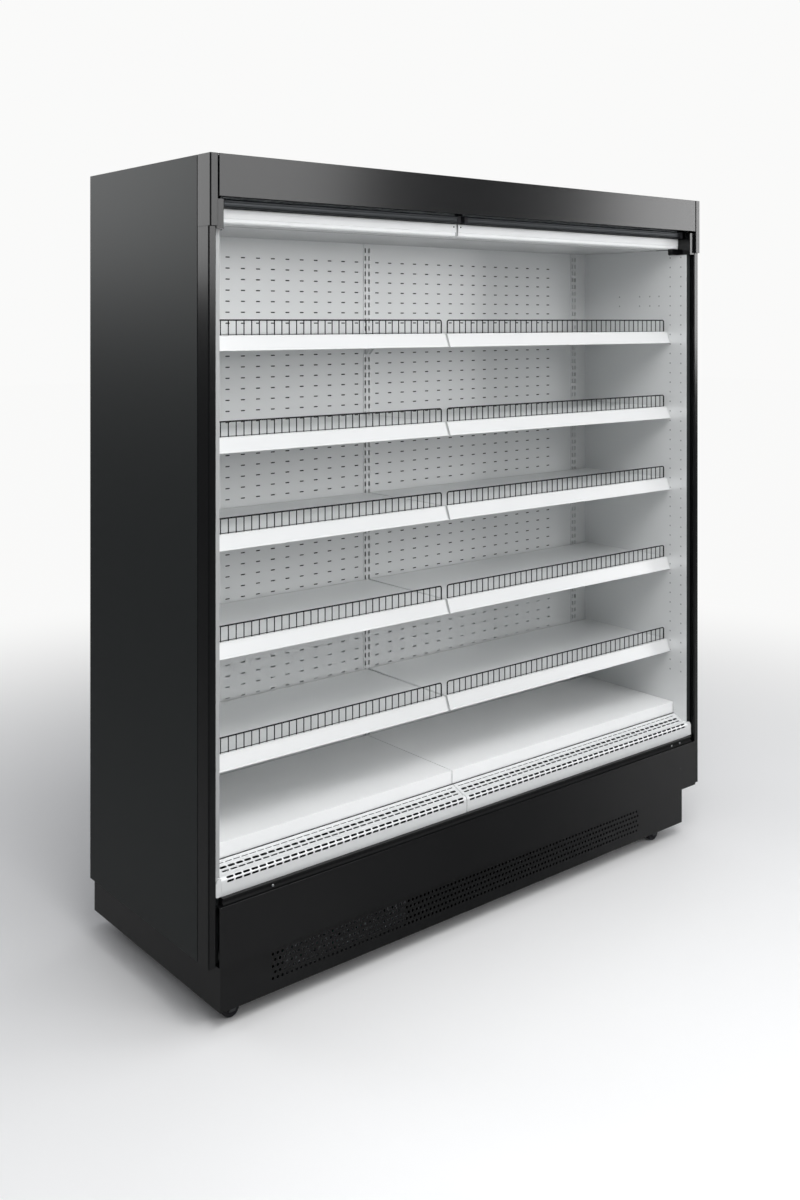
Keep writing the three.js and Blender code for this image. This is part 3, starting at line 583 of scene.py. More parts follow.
def along(tree: Tree, vector: Socket) -> Sockets:
    """Returns the X, Y and Z of a vector."""
    return node(tree, "SeparateXYZ", {0: vector}).outputs


def noise(tree: Tree, given: Sockets, detail: float, stretch: Spot = (1, 1, 1)) -> Socket:
    """Makes noise on Object coordinates at a group's Scale, perhaps stretched."""
    spot = node(tree, "Mapping", {"Vector": place(tree), "Scale": stretch}).outputs["Vector"]
    return node(tree, "TexNoise", {"Vector": spot, "Scale": given["Scale"],
                                   "Detail": detail}).outputs["Fac"]


class Effect:
    """A node group that several finishes share, built once."""

    def __init__(self, name: str, inputs: dict[str, object],
                 body: Callable[[Tree, Sockets], dict[str, Socket]]) -> None:
        """Builds the group.

        Args:
            name: Name of the group.
            inputs: Socket name to value, a number or a colour.
            body: Makes the nodes and returns what each output is fed from.
        """
        self.tree = bpy.data.node_groups.new(name, "ShaderNodeTree")
        socket = self.tree.interface.new_socket
        for label, value in inputs.items():
            kind = "NodeSocketColor" if isinstance(value, tuple) else "NodeSocketFloat"
            socket(label, in_out="INPUT", socket_type=kind).default_value = value
        feeds = body(self.tree, self.tree.nodes.new("NodeGroupInput").outputs)
        for label in feeds:
            kind = "NodeSocketColor" if label == "Colour" else "NodeSocketFloat"
            socket(label, in_out="OUTPUT", socket_type=kind)
        leave = self.tree.nodes.new("NodeGroupOutput")
        feed(self.tree, leave, feeds)

    def placed(self, tree: Tree, **inputs: object) -> Sockets:
        """Places the group in a material and returns its outputs."""
        return node(tree, "Group", inputs, node_tree=self.tree).outputs


def _drift(tree: Tree, given: Sockets) -> dict[str, Socket]:
    """Slow change of a colour's lightness over a surface."""
    share = spread(tree, noise(tree, given, 4), 0.3, 0.7)
    return {"Colour": mix(tree, share, given["Colour"], given["Other"])}


def _relief(tree: Tree, given: Sockets, detail: float, stretch: Spot) -> dict[str, Socket]:
    """Fine height with the roughness that goes with it."""
    fine = noise(tree, given, detail, stretch)
    return {"Height": fine,
            "Roughness": spread(tree, fine, 0.3, 0.7, given["Low"], given["High"])}


def _grain(tree: Tree, given: Sockets) -> dict[str, Socket]:
    """Relief of a coat or of moulded plastic."""
    return _relief(tree, given, 2, (1, 1, 1))


def _brushing(tree: Tree, given: Sockets) -> dict[str, Socket]:
    """Long fine lines of drawn or rolled metal along X."""
    return _relief(tree, given, 3, (0.02, 1, 1))


def _weave(tree: Tree, given: Sockets) -> dict[str, Socket]:
    """Threads that cross, as a height and a colour."""
    threads = {"Vector": place(tree), "Scale": given["Scale"], "Distortion": 0.6, "Detail": 1.0}
    bands = [node(tree, "TexWave", threads, bands_direction=way).outputs["Fac"] for way in "XZ"]
    height = calc(tree, "MAXIMUM", *bands)
    return {"Height": height, "Colour": mix(tree, height, given["Gap"], given["Thread"])}


def _dust(tree: Tree, given: Sockets) -> dict[str, Socket]:
    """A thin film on what faces up and on what is near the floor."""
    up = along(tree, node(tree, "NewGeometry").outputs["Normal"])["Z"]
    low = spread(tree, along(tree, place(tree))["Z"], 0.35, 0.02, 0.0, 0.5)
    both = calc(tree, "MAXIMUM", spread(tree, up, 0.2, 1.0), low)
    film = calc(tree, "MULTIPLY", calc(tree, "MULTIPLY", both, noise(tree, given, 5)),
                given["Amount"])
    return {"Colour": mix(tree, film, given["Colour"], (0.55, 0.54, 0.52, 1))}


GREY = (0.5, 0.5, 0.5, 1)
DRIFT = Effect("tone drift", {"Colour": GREY, "Other": GREY, "Scale": 3.0}, _drift)
GRAIN = Effect("coat grain", {"Scale": 600.0, "Low": 0.3, "High": 0.5}, _grain)
BRUSHING = Effect("rolled lines", {"Scale": 900.0, "Low": 0.3, "High": 0.5}, _brushing)
WEAVE = Effect("crossed threads", {"Scale": 400.0, "Gap": GREY, "Thread": GREY}, _weave)
DUST = Effect("settled dust", {"Colour": GREY, "Amount": 0.1, "Scale": 9.0}, _dust)


# ---------------------------------------------------------------- finishes


class Surface(Enum):
    """What gives a finish its fine relief."""

    GRAINED = "grained"
    ROLLED = "rolled"
    WOVEN = "woven"


@dataclass(frozen=True)
class Finish:
    """A finish of the fridge, made into one material."""

    slot: str  # the record's material slot
    colour: tuple[float, float, float]
    other: tuple[float, float, float]  # the colour that it drifts to
    low: float = 0.35  # roughness of its smoothest places
    high: float = 0.5  # roughness of its roughest places
    relief: float = 0.0001  # depth of its fine relief
    scale: float = 700.0  # fineness of that relief
    surface: Surface = Surface.GRAINED
    metallic: float = 0.0
    specular: float = 0.5
    coat: float = 0.0  # weight of a clear coat
    dust: float = 0.06  # amount of dust
    drift: float = 2.5  # scale of the slow change of tone
    label: str = ""  # name of the material, if it isn't the slot's

    def material(self) -> bpy.types.Material:
        """Returns the finish's material, built when it is first asked for."""
        name = self.label or self.slot
        if name in bpy.data.materials:
            return bpy.data.materials[name]
        made = bpy.data.materials.new(name)
        made.use_nodes = True
        tree = made.node_tree
        base = DRIFT.placed(tree, Colour=(*self.colour, 1), Other=(*self.other, 1),
                            Scale=self.drift)["Colour"]
        if self.surface is Surface.WOVEN:
            relief = WEAVE.placed(tree, Scale=self.scale, Gap=(*self.other, 1), Thread=base)
            base, rough = relief["Colour"], self.high
        else:
            effect = BRUSHING if self.surface is Surface.ROLLED else GRAIN
            relief = effect.placed(tree, Scale=self.scale, Low=self.low, High=self.high)
            rough = relief["Roughness"]
        bump = node(tree, "Bump", {"Height": relief["Height"], "Distance": self.relief,
                                   "Strength": 0.6})
        feed(tree, tree.nodes["Principled BSDF"], {
            "Base Color": DUST.placed(tree, Colour=base, Amount=self.dust)["Colour"],
            "Roughness": rough, "Normal": bump.outputs["Normal"], "Metallic": self.metallic,
            "Specular IOR Level": self.specular, "Coat Weight": self.coat,
            "Coat Roughness": 0.2})
        return made


BLACK = Finish("black_steel", (0.0032, 0.0034, 0.0037), (0.0044, 0.0046, 0.0050), low=0.19,
               high=0.24, relief=0.00001, specular=0.22, dust=0.003)
BLACK_PLASTIC = Finish("black_plastic", (0.006, 0.006, 0.0065), (0.009, 0.009, 0.0095), low=0.42,
                       high=0.58, relief=0.00008, scale=900, specular=0.25, dust=0.005)
WHITE = Finish("white_steel", (0.78, 0.79, 0.79), (0.74, 0.75, 0.755), low=0.34, high=0.46,
               relief=0.00005, dust=0.03)
TUB = Finish("tub_plastic", (0.7, 0.71, 0.71), (0.65, 0.66, 0.665), low=0.45, high=0.6,
             relief=0.00015, scale=500)
LIGHT = Finish("light_plastic", (0.86, 0.87, 0.87), (0.82, 0.83, 0.835), low=0.28, high=0.36,
               relief=0.00003, coat=0.2, dust=0.02)
DARK_ALUMINIUM = Finish("dark_aluminium", (0.05, 0.052, 0.056), (0.06, 0.062, 0.066), low=0.34,
                        high=0.46, surface=Surface.ROLLED, metallic=0.85, dust=0.02)
FABRIC = Finish("blind_fabric", (0.52, 0.54, 0.55), (0.34, 0.35, 0.36), low=0.6, high=0.68,
                relief=0.0002, scale=420, surface=Surface.WOVEN, metallic=0.25, dust=0.0)
ZINC = Finish("zinc_steel", (0.55, 0.57, 0.58), (0.47, 0.49, 0.5), low=0.3, high=0.5,
              surface=Surface.ROLLED, metallic=1.0, dust=0.05, drift=14)
FIN = Finish("fin_aluminium", (0.68, 0.7, 0.72), (0.6, 0.62, 0.64), low=0.28, high=0.42,
             surface=Surface.ROLLED, metallic=1.0, dust=0.04)
ENAMEL = Finish("compressor_paint", (0.016, 0.017, 0.018), (0.022, 0.023, 0.024), low=0.18,
                high=0.28, relief=0.00008, coat=0.6, dust=0.08)
RUBBER = Finish("castor_rubber", (0.018, 0.018, 0.019), (0.028, 0.028, 0.029), low=0.55, high=0.75,
                relief=0.0002, scale=450, specular=0.3, dust=0.15)
WIRE = Finish("black_wire", (0.006, 0.006, 0.0065), (0.009, 0.009, 0.0095), low=0.45, high=0.58,
              relief=0.00003, specular=0.25, dust=0.0)
FINISHES = {f.slot: f for f in (BLACK, BLACK_PLASTIC, WHITE, TUB, LIGHT, DARK_ALUMINIUM, FABRIC,
                                ZINC, FIN, ENAMEL, RUBBER, WIRE)}

GLOSS = replace(BLACK, label="black_gloss", low=0.17, high=0.22, specular=0.42)
RAIL = replace(LIGHT, slot="white_steel", label="price_rail_plastic", colour=(0.685, 0.69, 0.69),
               other=(0.655, 0.665, 0.665), coat=0.1)
RAIL_END = replace(RAIL, label="price_rail_end", colour=(0.72, 0.725, 0.725),
                   other=(0.68, 0.69, 0.69))
STRIP_END = replace(LIGHT, label="light_strip_end", colour=(0.66, 0.67, 0.67),
                    other=(0.6, 0.61, 0.61))
ZINC_DARK = replace(ZINC, label="castor_fork_zinc", colour=(0.16, 0.165, 0.17),
                    other=(0.12, 0.125, 0.13))
# The ceiling panel's white steel, painted darker than the rest: painted shade of the
# downward-facing ceiling.
CEILING_PAINTED_SHADE = replace(WHITE, label="ceiling_white", colour=(0.48, 0.487, 0.487),
                  other=(0.45, 0.457, 0.46))
# The decks' white steel, painted lighter than the rest: painted light on the upward-facing decks.
DECK_PAINTED_LIGHT = replace(WHITE, label="deck_white", colour=(0.9, 0.905, 0.905), other=(0.87, 0.88, 0.88))
# Grey for the left liner's front edge: painted shade of the gap between liner and end trim.
EDGE_PAINTED_SHADE = replace(TUB, slot="white_steel", label="liner_edge_grey", colour=(0.4, 0.405, 0.405),
                    other=(0.37, 0.375, 0.375))
BUMPER = replace(BLACK_PLASTIC, label="bumper_plastic", specular=0.2)
# The return air rail and the insulated tub are painted black, though they are white steel and tub
# plastic: painted shade behind the grille's slots and in the deck's gap.
RAIL_PAINTED_SHADE = replace(BLACK_PLASTIC, slot="white_steel", label="air_rail_dark")
TUB_PAINTED_SHADE = replace(BLACK_PLASTIC, slot="tub_plastic", label="tub_dark")
LINER_PLUG = replace(TUB, label="liner_plug", colour=(0.42, 0.43, 0.43), other=(0.36, 0.37, 0.37))


def dressed(piece: Piece, name: str, finish: Finish, stands_for: str = "",
            body: str = "cabinet", ride: bool = True) -> Piece:
    """Names a finished piece, gives it its finish and ties it to its body.

    Args:
        piece: The piece, in place.
        name: Its name.
        finish: Its finish.
        stands_for: The CAD node that it replaces, if it does.
        body: The CAD body that it rides on.
        ride: False for a piece that is tied to its bodies in another way.

    Returns:
        The same piece.
    """
    piece.name = piece.data.name = name
    piece.data.materials.clear()
    piece.data.materials.append(finish.material())
    for face in piece.data.polygons:
        face.material_index = 0
    if ride:
        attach(piece, body)
    if stands_for:
        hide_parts(stands_for)
    LOG.info("%s: %d faces, on %s", name, len(piece.data.polygons), body)
    return piece


def refined(name: str, finish: Finish, body: str = "cabinet", width: float = 0.0008,
            segments: int = 2) -> Piece:
    """Makes a node's visible piece from its own mesh, with rounded edges.

    Args:
        name: The CAD node.
        finish: Its finish.
        body: The body it rides on.
        width: Width of the rounding.
        segments: Faces across the rounding.

    Returns:
        The piece, which replaces the node.
    """
    piece = twin(name, NODES[name].data)
    with editing(piece):
        bpy.ops.mesh.remove_doubles(threshold=1e-5)
        bpy.ops.mesh.dissolve_limited(angle_limit=math.radians(0.5))
    return dressed(softened(piece, width, segments), name + "_shell", finish, name, body)


def finished_sheet(piece: Piece, stands_for: str, ending: str, finish: Finish,
                   gauge: float) -> None:
    """Moves a flat sheet to its node's front, thickens it and dresses it.

    Args:
        piece: The sheet, flat across Y at Y zero.
        stands_for: The CAD node that it replaces.
        ending: What its name adds to the node's.
        finish: Its finish.
        gauge: Its thickness.
    """
    thickened(moved(piece, (0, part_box(stands_for)[0].y, 0)), (0, -1, 0), gauge)
    dressed(softened(piece), stands_for + ending, finish, stands_for)


def screws(name: str, places: Sequence[Spot], way: int, radius: float, finish: Finish) -> Piece:
    """Sets pan-head screws with a hollow drive, driven along Y.

    Args:
        name: Name of the piece that holds them all.
        places: Where each head meets its sheet.
        way: 1 if the heads stand towards plus, and -1 towards minus.
        radius: Radius of a head.
        finish: Their finish.

    Returns:
        All the screws as one piece.
    """
    profile = [(way * radius * d, radius * r) for d, r in (
        (0, 0), (0, 1), (0.3, 0.98), (0.55, 0.72), (0.6, 0.4), (0.25, 0.3), (0.25, 0))]
    heads = [turned("head", profile, spot, Axis.Y, 12) for spot in places]
    return dressed(softened(joined(name, heads)), name, finish)


# ---------------------------------------------------------------- studio


@dataclass
class Studio:
    """The pale floor, the soft lamps, the white surroundings and the camera."""

    spot: tuple[float, float, float] = (-2.5438, -2.9965, 1.7849)  # where the camera stands
    turn: float = -39.6  # the camera's turn, in degrees
    lens: float = 36.9  # focal length on a sensor that fits the frame's height
    sensor: float = 36.0
    shift: float = -0.2326  # the camera's upright shift
    reach: float = 30.0  # half the floor's side
    fade: Flat = (1.2, 4.3)  # where the floor starts and ends to fade into the white
    lamps: tuple = (  # name, place, aim, width and height, power
        ("lamp_top", (0.4, -1.2, 4.8), (0.2, -0.3, 0.4), (4.0, 4.0), 92),
        ("lamp_high", (-1.3, -2.9, 4.1), (0.1, 0, 0.7), (2.2, 2.2), 94),
        ("lamp_front", (1.6, -4.8, 2.8), (0, 0, 1.5), (2.1, 1.7), 53),
        ("lamp_right", (6.3, -4.3, 2.4), (0.6, 0, 1.5), (1.6, 2.0), 64),
        ("lamp_back_left", (-3.9, 5.2, 3.35), (-0.98, 0.2, 2.0), (2.6, 2.6), 52))

    def build(self) -> None:
        """Sets up the whole studio."""
        self.camera()
        self.floor()
        for lamp in self.lamps:
            self.lamp(*lamp)
        self.surroundings()

    def camera(self) -> None:
        """Places the camera at the photograph's angle."""
        data = bpy.data.cameras.new("camera")
        data.sensor_fit, data.sensor_height, data.clip_end = "VERTICAL", self.sensor, 200
        data.lens, data.shift_y = self.lens, self.shift
        camera = bpy.data.objects.new("camera", data)
        camera.location = self.spot
        camera.rotation_euler = (math.radians(90), 0, math.radians(self.turn))
        bpy.context.scene.collection.objects.link(camera)
        bpy.context.scene.camera = camera

    def floor(self) -> None:
        """Lays a pale floor that fades into the white and is painted dark to glossy rays: a painted
        dark reflection in the object.
        """
        bpy.ops.mesh.primitive_grid_add(x_subdivisions=8, y_subdivisions=8, size=2 * self.reach,
                                        location=(0, 0, 0))
        floor = bpy.context.object
        floor.name = "studio_floor"
        material = bpy.data.materials.new("studio_floor")
        material.use_nodes = True
        tree = material.node_tree
        shader = tree.nodes["Principled BSDF"]
        where = place(tree)
        haze = node(tree, "TexNoise", {"Vector": where, "Scale": 0.8, "Detail": 2.0})
        tint = mix(tree, haze.outputs["Fac"], (0.935, 0.935, 0.93, 1), (0.95, 0.95, 0.95, 1))
        path = node(tree, "LightPath").outputs
        # To glossy rays the floor's colour is painted dark: a painted dark reflection in the
        # object's black panels.
        mirrored = calc(tree, "MULTIPLY", path["Is Glossy Ray"], 0.92)
        feed(tree, shader, {"Base Color": mix(tree, mirrored, tint, (0.07, 0.07, 0.07, 1)),
                            "Roughness": 0.32, "Specular IOR Level": 0.35})
        glow = node(tree, "Emission", {"Color": (0.95, 0.95, 0.945, 1)})
        flat = along(tree, where)
        plane = node(tree, "CombineXYZ", {0: flat["X"], 1: flat["Y"]}).outputs[0]
        distance = node(tree, "VectorMath", {0: plane}, operation="LENGTH").outputs["Value"]
        fade = spread(tree, distance, *self.fade, shape="SMOOTHSTEP")
        self._shown(tree, calc(tree, "MULTIPLY", fade, path["Is Camera Ray"]), shader, glow,
                    "Material Output")
        floor.data.materials.append(material)

    def surroundings(self) -> None:
        """Makes the world white to the camera and a plain grey light to the object."""
        world = bpy.data.worlds.new("surroundings")
        world.use_nodes = True
        bpy.context.scene.world = world
        tree = world.node_tree
        white = tree.nodes["Background"]
        white.inputs["Color"].default_value = (0.955, 0.955, 0.95, 1)
        dome = spread(tree, along(tree, place(tree, "Generated"))["Z"], 0.0, 0.8, 0.08, 0.36)
        fill = node(tree, "Background", {"Color": (0.93, 0.95, 1.0, 1), "Strength": dome})
        path = node(tree, "LightPath").outputs
        seen = path["Is Camera Ray"]
        for kind in ("Is Glossy Ray", "Is Transmission Ray"):
            seen = node(tree, "Math", {0: path[kind], 1: 0.07, 2: seen}, use_clamp=True,
                        operation="MULTIPLY_ADD").outputs[0]
        self._shown(tree, seen, fill, white, "World Output")
        bpy.context.scene.view_settings.view_transform = "Standard"

    @staticmethod
    def _shown(tree: Tree, share: Socket, first: bpy.types.Node, second: bpy.types.Node,
               output: str) -> None:
        """Feeds an output with a mix of two shaders."""
        mixed = node(tree, "MixShader", {0: share, 1: first.outputs[0], 2: second.outputs[0]})
        tree.links.new(mixed.outputs[0], tree.nodes[output].inputs["Surface"])

    @staticmethod
    def lamp(name: str, spot: Spot, aim: Spot, size: Flat, power: float) -> None:
        """Adds a soft lamp.

        Args:
            name: Its name.
            spot: Where it hangs.
            aim: The place that it points at.
            size: Its width and height.
            power: Its power in watts.
        """
        data = bpy.data.lights.new(name, "AREA")
        data.shape, data.energy = "RECTANGLE", power
        data.size, data.size_y = size
        lamp = bpy.data.objects.new(name, data)
        lamp.location = spot
        lamp.rotation_euler = (Vector(aim) - Vector(spot)).to_track_quat("-Z", "Y").to_euler()
        bpy.context.scene.collection.objects.link(lamp)


# ---------------------------------------------------------------- cabinet


@dataclass
class Shell:
    """The sheet metal that keeps its CAD shape: ends, trims, caps, liners, base and canopy."""

    plain: tuple = (  # the nodes in each finish
        (BLACK, "rear_wall roof_panel end_panel_left end_panel_right"),
        (GLOSS, "end_trim_left end_trim_right canopy_cap_left canopy_cap_right canopy_fascia"),
        (GLOSS, "base_frame"),
        (WHITE, "side_liner_left side_liner_right rear_duct_rail"),
        # The ceiling panel's darker white is painted shade.
        (CEILING_PAINTED_SHADE, "ceiling_panel"), (BUMPER, "bumper_channel"),
        # The return air rail and insulated tub in black: painted shade behind the grille.
        (RAIL_PAINTED_SHADE, "return_air_rail"), (TUB_PAINTED_SHADE, "insulated_tub"))
    edge: Flat = (0.9362, 0.9530)  # X of a liner's front edge, at the right
    face: Flat = (0.0249, 0.0254)  # front plane to both faces of that edge

    def build(self) -> None:
        """Rounds and dresses every piece."""
        for finish, names in self.plain:
            for name in names.split():
                refined(name, finish)
        refined("lower_fascia", GLOSS, width=0.002, segments=3)
        # The liners' front edges are painted grey on the left and black on the right: painted shade
        # of the gap between liner and end trim.
        for side, finish in zip(SIDES, (EDGE_PAINTED_SHADE, BLACK)):
            low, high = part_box(f"side_liner_{side}")
            near, far = sorted(side_way(side) * x for x in self.edge)
            front, back = (depth(y) for y in self.face)
            edge = bar("edge", [(near, front), (far, front), (far, back), (near, back)],
                       low.z + 0.001, high.z - 0.001, Axis.Z)
            dressed(softened(edge, 0.0001), f"liner_edge_{side}", finish)
            # The decks take the lighter white: painted light.
            refined(f"deck_pan_{side}", DECK_PAINTED_LIGHT, f"deck_{side}", 0.003, 4)


@dataclass
class Shelving:
    """Five shelves in each bay: tray, price rail, its end plates, brackets and wire riser."""

    rail: float = 0.040  # height of the price rail
    lean: float = 0.016  # how far the rail's top stands behind its foot
    front: float = 0.093  # front plane to the rail's foot
    back: float = 0.486  # front plane to the tray's rear edge
    sheet: float = 0.0015  # thickness of the tray
    flange: float = 0.020  # height of its rear flange
    riser: float = 0.042  # height of the riser above the tray
    pitch: float = 0.0238  # between the riser's upright wires
    wires: tuple[float, float, float] = (0.0021, 0.0015, 0.0010)  # radii: frame, uprights, foot
    bracket: float = 0.003  # thickness of a bracket
    neck: float = 0.009  # height of a bracket at its front
    drop: float = 0.070  # height of a bracket at its rear
    reach: float = 0.133  # length of its hollow curve
    tip: float = 0.129  # front plane to a bracket's front
    heel: float = 0.4898  # front plane to its rear
    posts: tuple[Flat, ...] = ((-0.8655, -0.1125), (-0.0995, 0.8625))  # X of the brackets
    levels: int = 5

    def build(self) -> None:
        """Models one shelf for each bay and copies it to the other levels."""
        for side, posts in zip(SIDES, self.posts):
            low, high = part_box(f"shelf_{side}_1")
            top = high.z - self.riser
            models = {
                "tray": (self.tray(low.x, high.x, top), WHITE),
                "rail": (self.price_rail(low.x, high.x, top), RAIL),
                "ends": (self.end_plates(low.x, high.x, top), RAIL_END),
                "riser": (self.wire_riser(low.x + 0.008, high.x - 0.008, top), WIRE),
                "bracket_a": (self.arm(posts[0], top), WHITE),
                "bracket_b": (self.arm(posts[1], top), WHITE),
            }
            for level in range(1, self.levels + 1):
                shelf = f"shelf_{side}_{level}"
                rise = (0, 0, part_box(shelf)[1].z - high.z)
                for label, (piece, finish) in models.items():
                    name = f"{shelf}_{label}"
                    if level > 1:
                        piece = moved(twin(name, piece.data), rise)
                    dressed(piece, name, finish, shelf if label == "tray" else "")

    def tray(self, start: float, end: float, top: float) -> Piece:
        """Folds the tray, with a front lip behind the rail and a rear flange."""
        lip, back = depth(self.front + self.lean + 0.0035), depth(self.back)
        path = rounded([(lip, top - 0.026), (lip, top), (back, top), (back, top - self.flange)],
                       0.003, 3, False)
        return softened(folded("tray", path, start + 0.0015, end - 0.0015, self.sheet,
                               (0, -0.05, 1)), 0.0003, 1, 60)

    def price_rail(self, start: float, end: float, top: float) -> Piece:
        """Draws the leaning price rail with its two lips."""
        h = self.rail
        outline = [(depth(self.front + self.lean * (1 - down / h) + inward), top - down)
                   for down, inward in (
                       (0, 0), (0.003, 0), (0.0036, 0.0008), (0.0352, 0.0008), (0.0358, 0),
                       (h - 0.001, 0), (h, 0.001), (h, 0.003), (0.0375, 0.0035), (0.003, 0.003),
                       (0, 0.003))]
        return softened(bar("rail", outline, start + 0.002, end - 0.002), 0.0003)

    def end_plates(self, start: float, end: float, top: float) -> Piece:
        """Closes both ends of the rail with slanted plates."""
        foot, crown, low = depth(self.front), depth(self.front + self.lean), top - self.rail
        outline = rounded([(crown, top + 0.0004), (foot, low), (foot + 0.007, low),
                           (crown + 0.012, top - 0.022), (crown + 0.012, top + 0.0004)], 0.0015, 2)
        return softened(end_pair(outline, start, end, 0.002), 0.0003)

    def wire_riser(self, start: float, end: float, top: float) -> Piece:
        """Bends the frame, welds its upright wires to its front and adds the thin foot rod."""
        thick, thin, rod = self.wires
        y, crown = depth(self.front + self.lean + 0.0084), top + self.riser - thick
        path = rounded([(start, top + 0.0003), (start, crown), (end, crown), (end, top + 0.0003)],
                       0.007, 4, False)
        outer = wire("frame", [(x, y, z) for x, z in path], thick)
        foot = wire("foot", [(x, y, top + 0.0016) for x in (start, (start + end) / 2, end)], rod)
        count = round((end - start) / self.pitch)
        step = (end - start) / count
        bpy.ops.mesh.primitive_cylinder_add(
            vertices=8, radius=thin, depth=self.riser - thick - 0.0005,
            location=(start + step, y - thick - thin * 0.4, top + (self.riser - thick) / 2))
        upright = bpy.context.object
        bpy.ops.object.transform_apply(location=True, rotation=False, scale=False)
        array(upright, count - 1, (step, 0, 0), False)
        return softened(joined("riser", [outer, foot, upright]))

    def arm(self, x: float, top: float) -> Piece:
        """Cuts a bracket with its long hollow curve."""
        upper, tip, heel = top - self.sheet - 0.0001, depth(self.tip), depth(self.heel)
        hollow = [(heel - self.reach + (self.reach - 0.008) * t,
                   top - self.neck - (self.drop - self.neck) * t * t)
                  for t in (i / 10 for i in range(11))]
        outline = [(tip, upper), (tip, top - self.neck), *hollow, (heel, top - self.drop),
                   (heel, upper)]
        return softened(bar("arm", outline, x, x + self.bracket), 0.0004)


@dataclass
class BackWall:
    """The slotted back panels and the uprights with their rows of slots."""

    pitch: float = 0.0532  # between slot columns of a panel
    rise: float = 0.0325  # between its slot rows
    slot: Flat = (0.0155, 0.0036)  # width and height of a slot
    rows: int = 46
    first: float = 1.973  # Z of the top row
    margin: float = 0.0265  # bay joint to the nearest column
    spare: float = 0.12  # width of a panel that holds no column
    gauge: float = 0.0012  # thickness of the sheet
    post_slot: Flat = (0.0056, 0.0165)  # width and height of an upright's slot
    post_pitch: float = 0.025  # between its slots
    post_gauge: float = 0.0018
    post_top: float = 0.0085  # plain top of an upright

    def build(self) -> None:
        """Builds both panels and the three uprights."""
        for side in SIDES:
            self.panel(f"back_panel_{side}", side)
        for which in ("left", "middle", "right"):
            self.upright(f"upright_{which}")

    def panel(self, name: str, side: str) -> None:
        """Punches a panel and folds its edges back."""
        low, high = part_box(name)
        columns = int((high.x - low.x - self.spare) / self.pitch) + 1
        run = (columns - 1) * self.pitch
        start = high.x - self.margin - run if side == "left" else low.x + self.margin
        bottom = self.first - (self.rows - 1) * self.rise
        cell = punched_cell(self.pitch, self.rise, slot_hole(*self.slot), start, bottom)
        piece = field(cell, columns, self.rows, self.pitch, self.rise)
        half, rise = self.pitch / 2, self.rise / 2
        held = (start - half, start + run + half, bottom - rise, self.first + rise)
        opened(framed_sheet(piece, held, (low.x, high.x, low.z, high.z)))
        folded_back(piece, ((Axis.X, low.x), (Axis.X, high.x), (Axis.Z, high.z), (Axis.Z, low.z)),
                    high.y - low.y, 0.001)
        finished_sheet(piece, name, "_sheet", WHITE, self.gauge)

    def upright(self, name: str) -> None:
        """Punches an upright's face in two columns and folds its flanges back."""
        low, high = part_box(name)
        wide = (high.x - low.x) / 2
        count = int((high.z - low.z) / self.post_pitch)
        bottom = high.z - self.post_top - self.post_pitch * (count - 0.5)
        cell = punched_cell(wide, self.post_pitch, slot_hole(*self.post_slot),
                            (low.x + high.x - wide) / 2, bottom)
        piece = field(cell, 2, count, wide, self.post_pitch)
        held = (low.x, high.x, bottom - self.post_pitch / 2,
                bottom + self.post_pitch * (count - 0.5))
        opened(framed_sheet(piece, held, (low.x, high.x, low.z, high.z)))
        folded_back(piece, ((Axis.X, low.x), (Axis.X, high.x)), high.y - low.y, 0.0015)
        finished_sheet(piece, name, "_channel", WHITE, self.post_gauge)


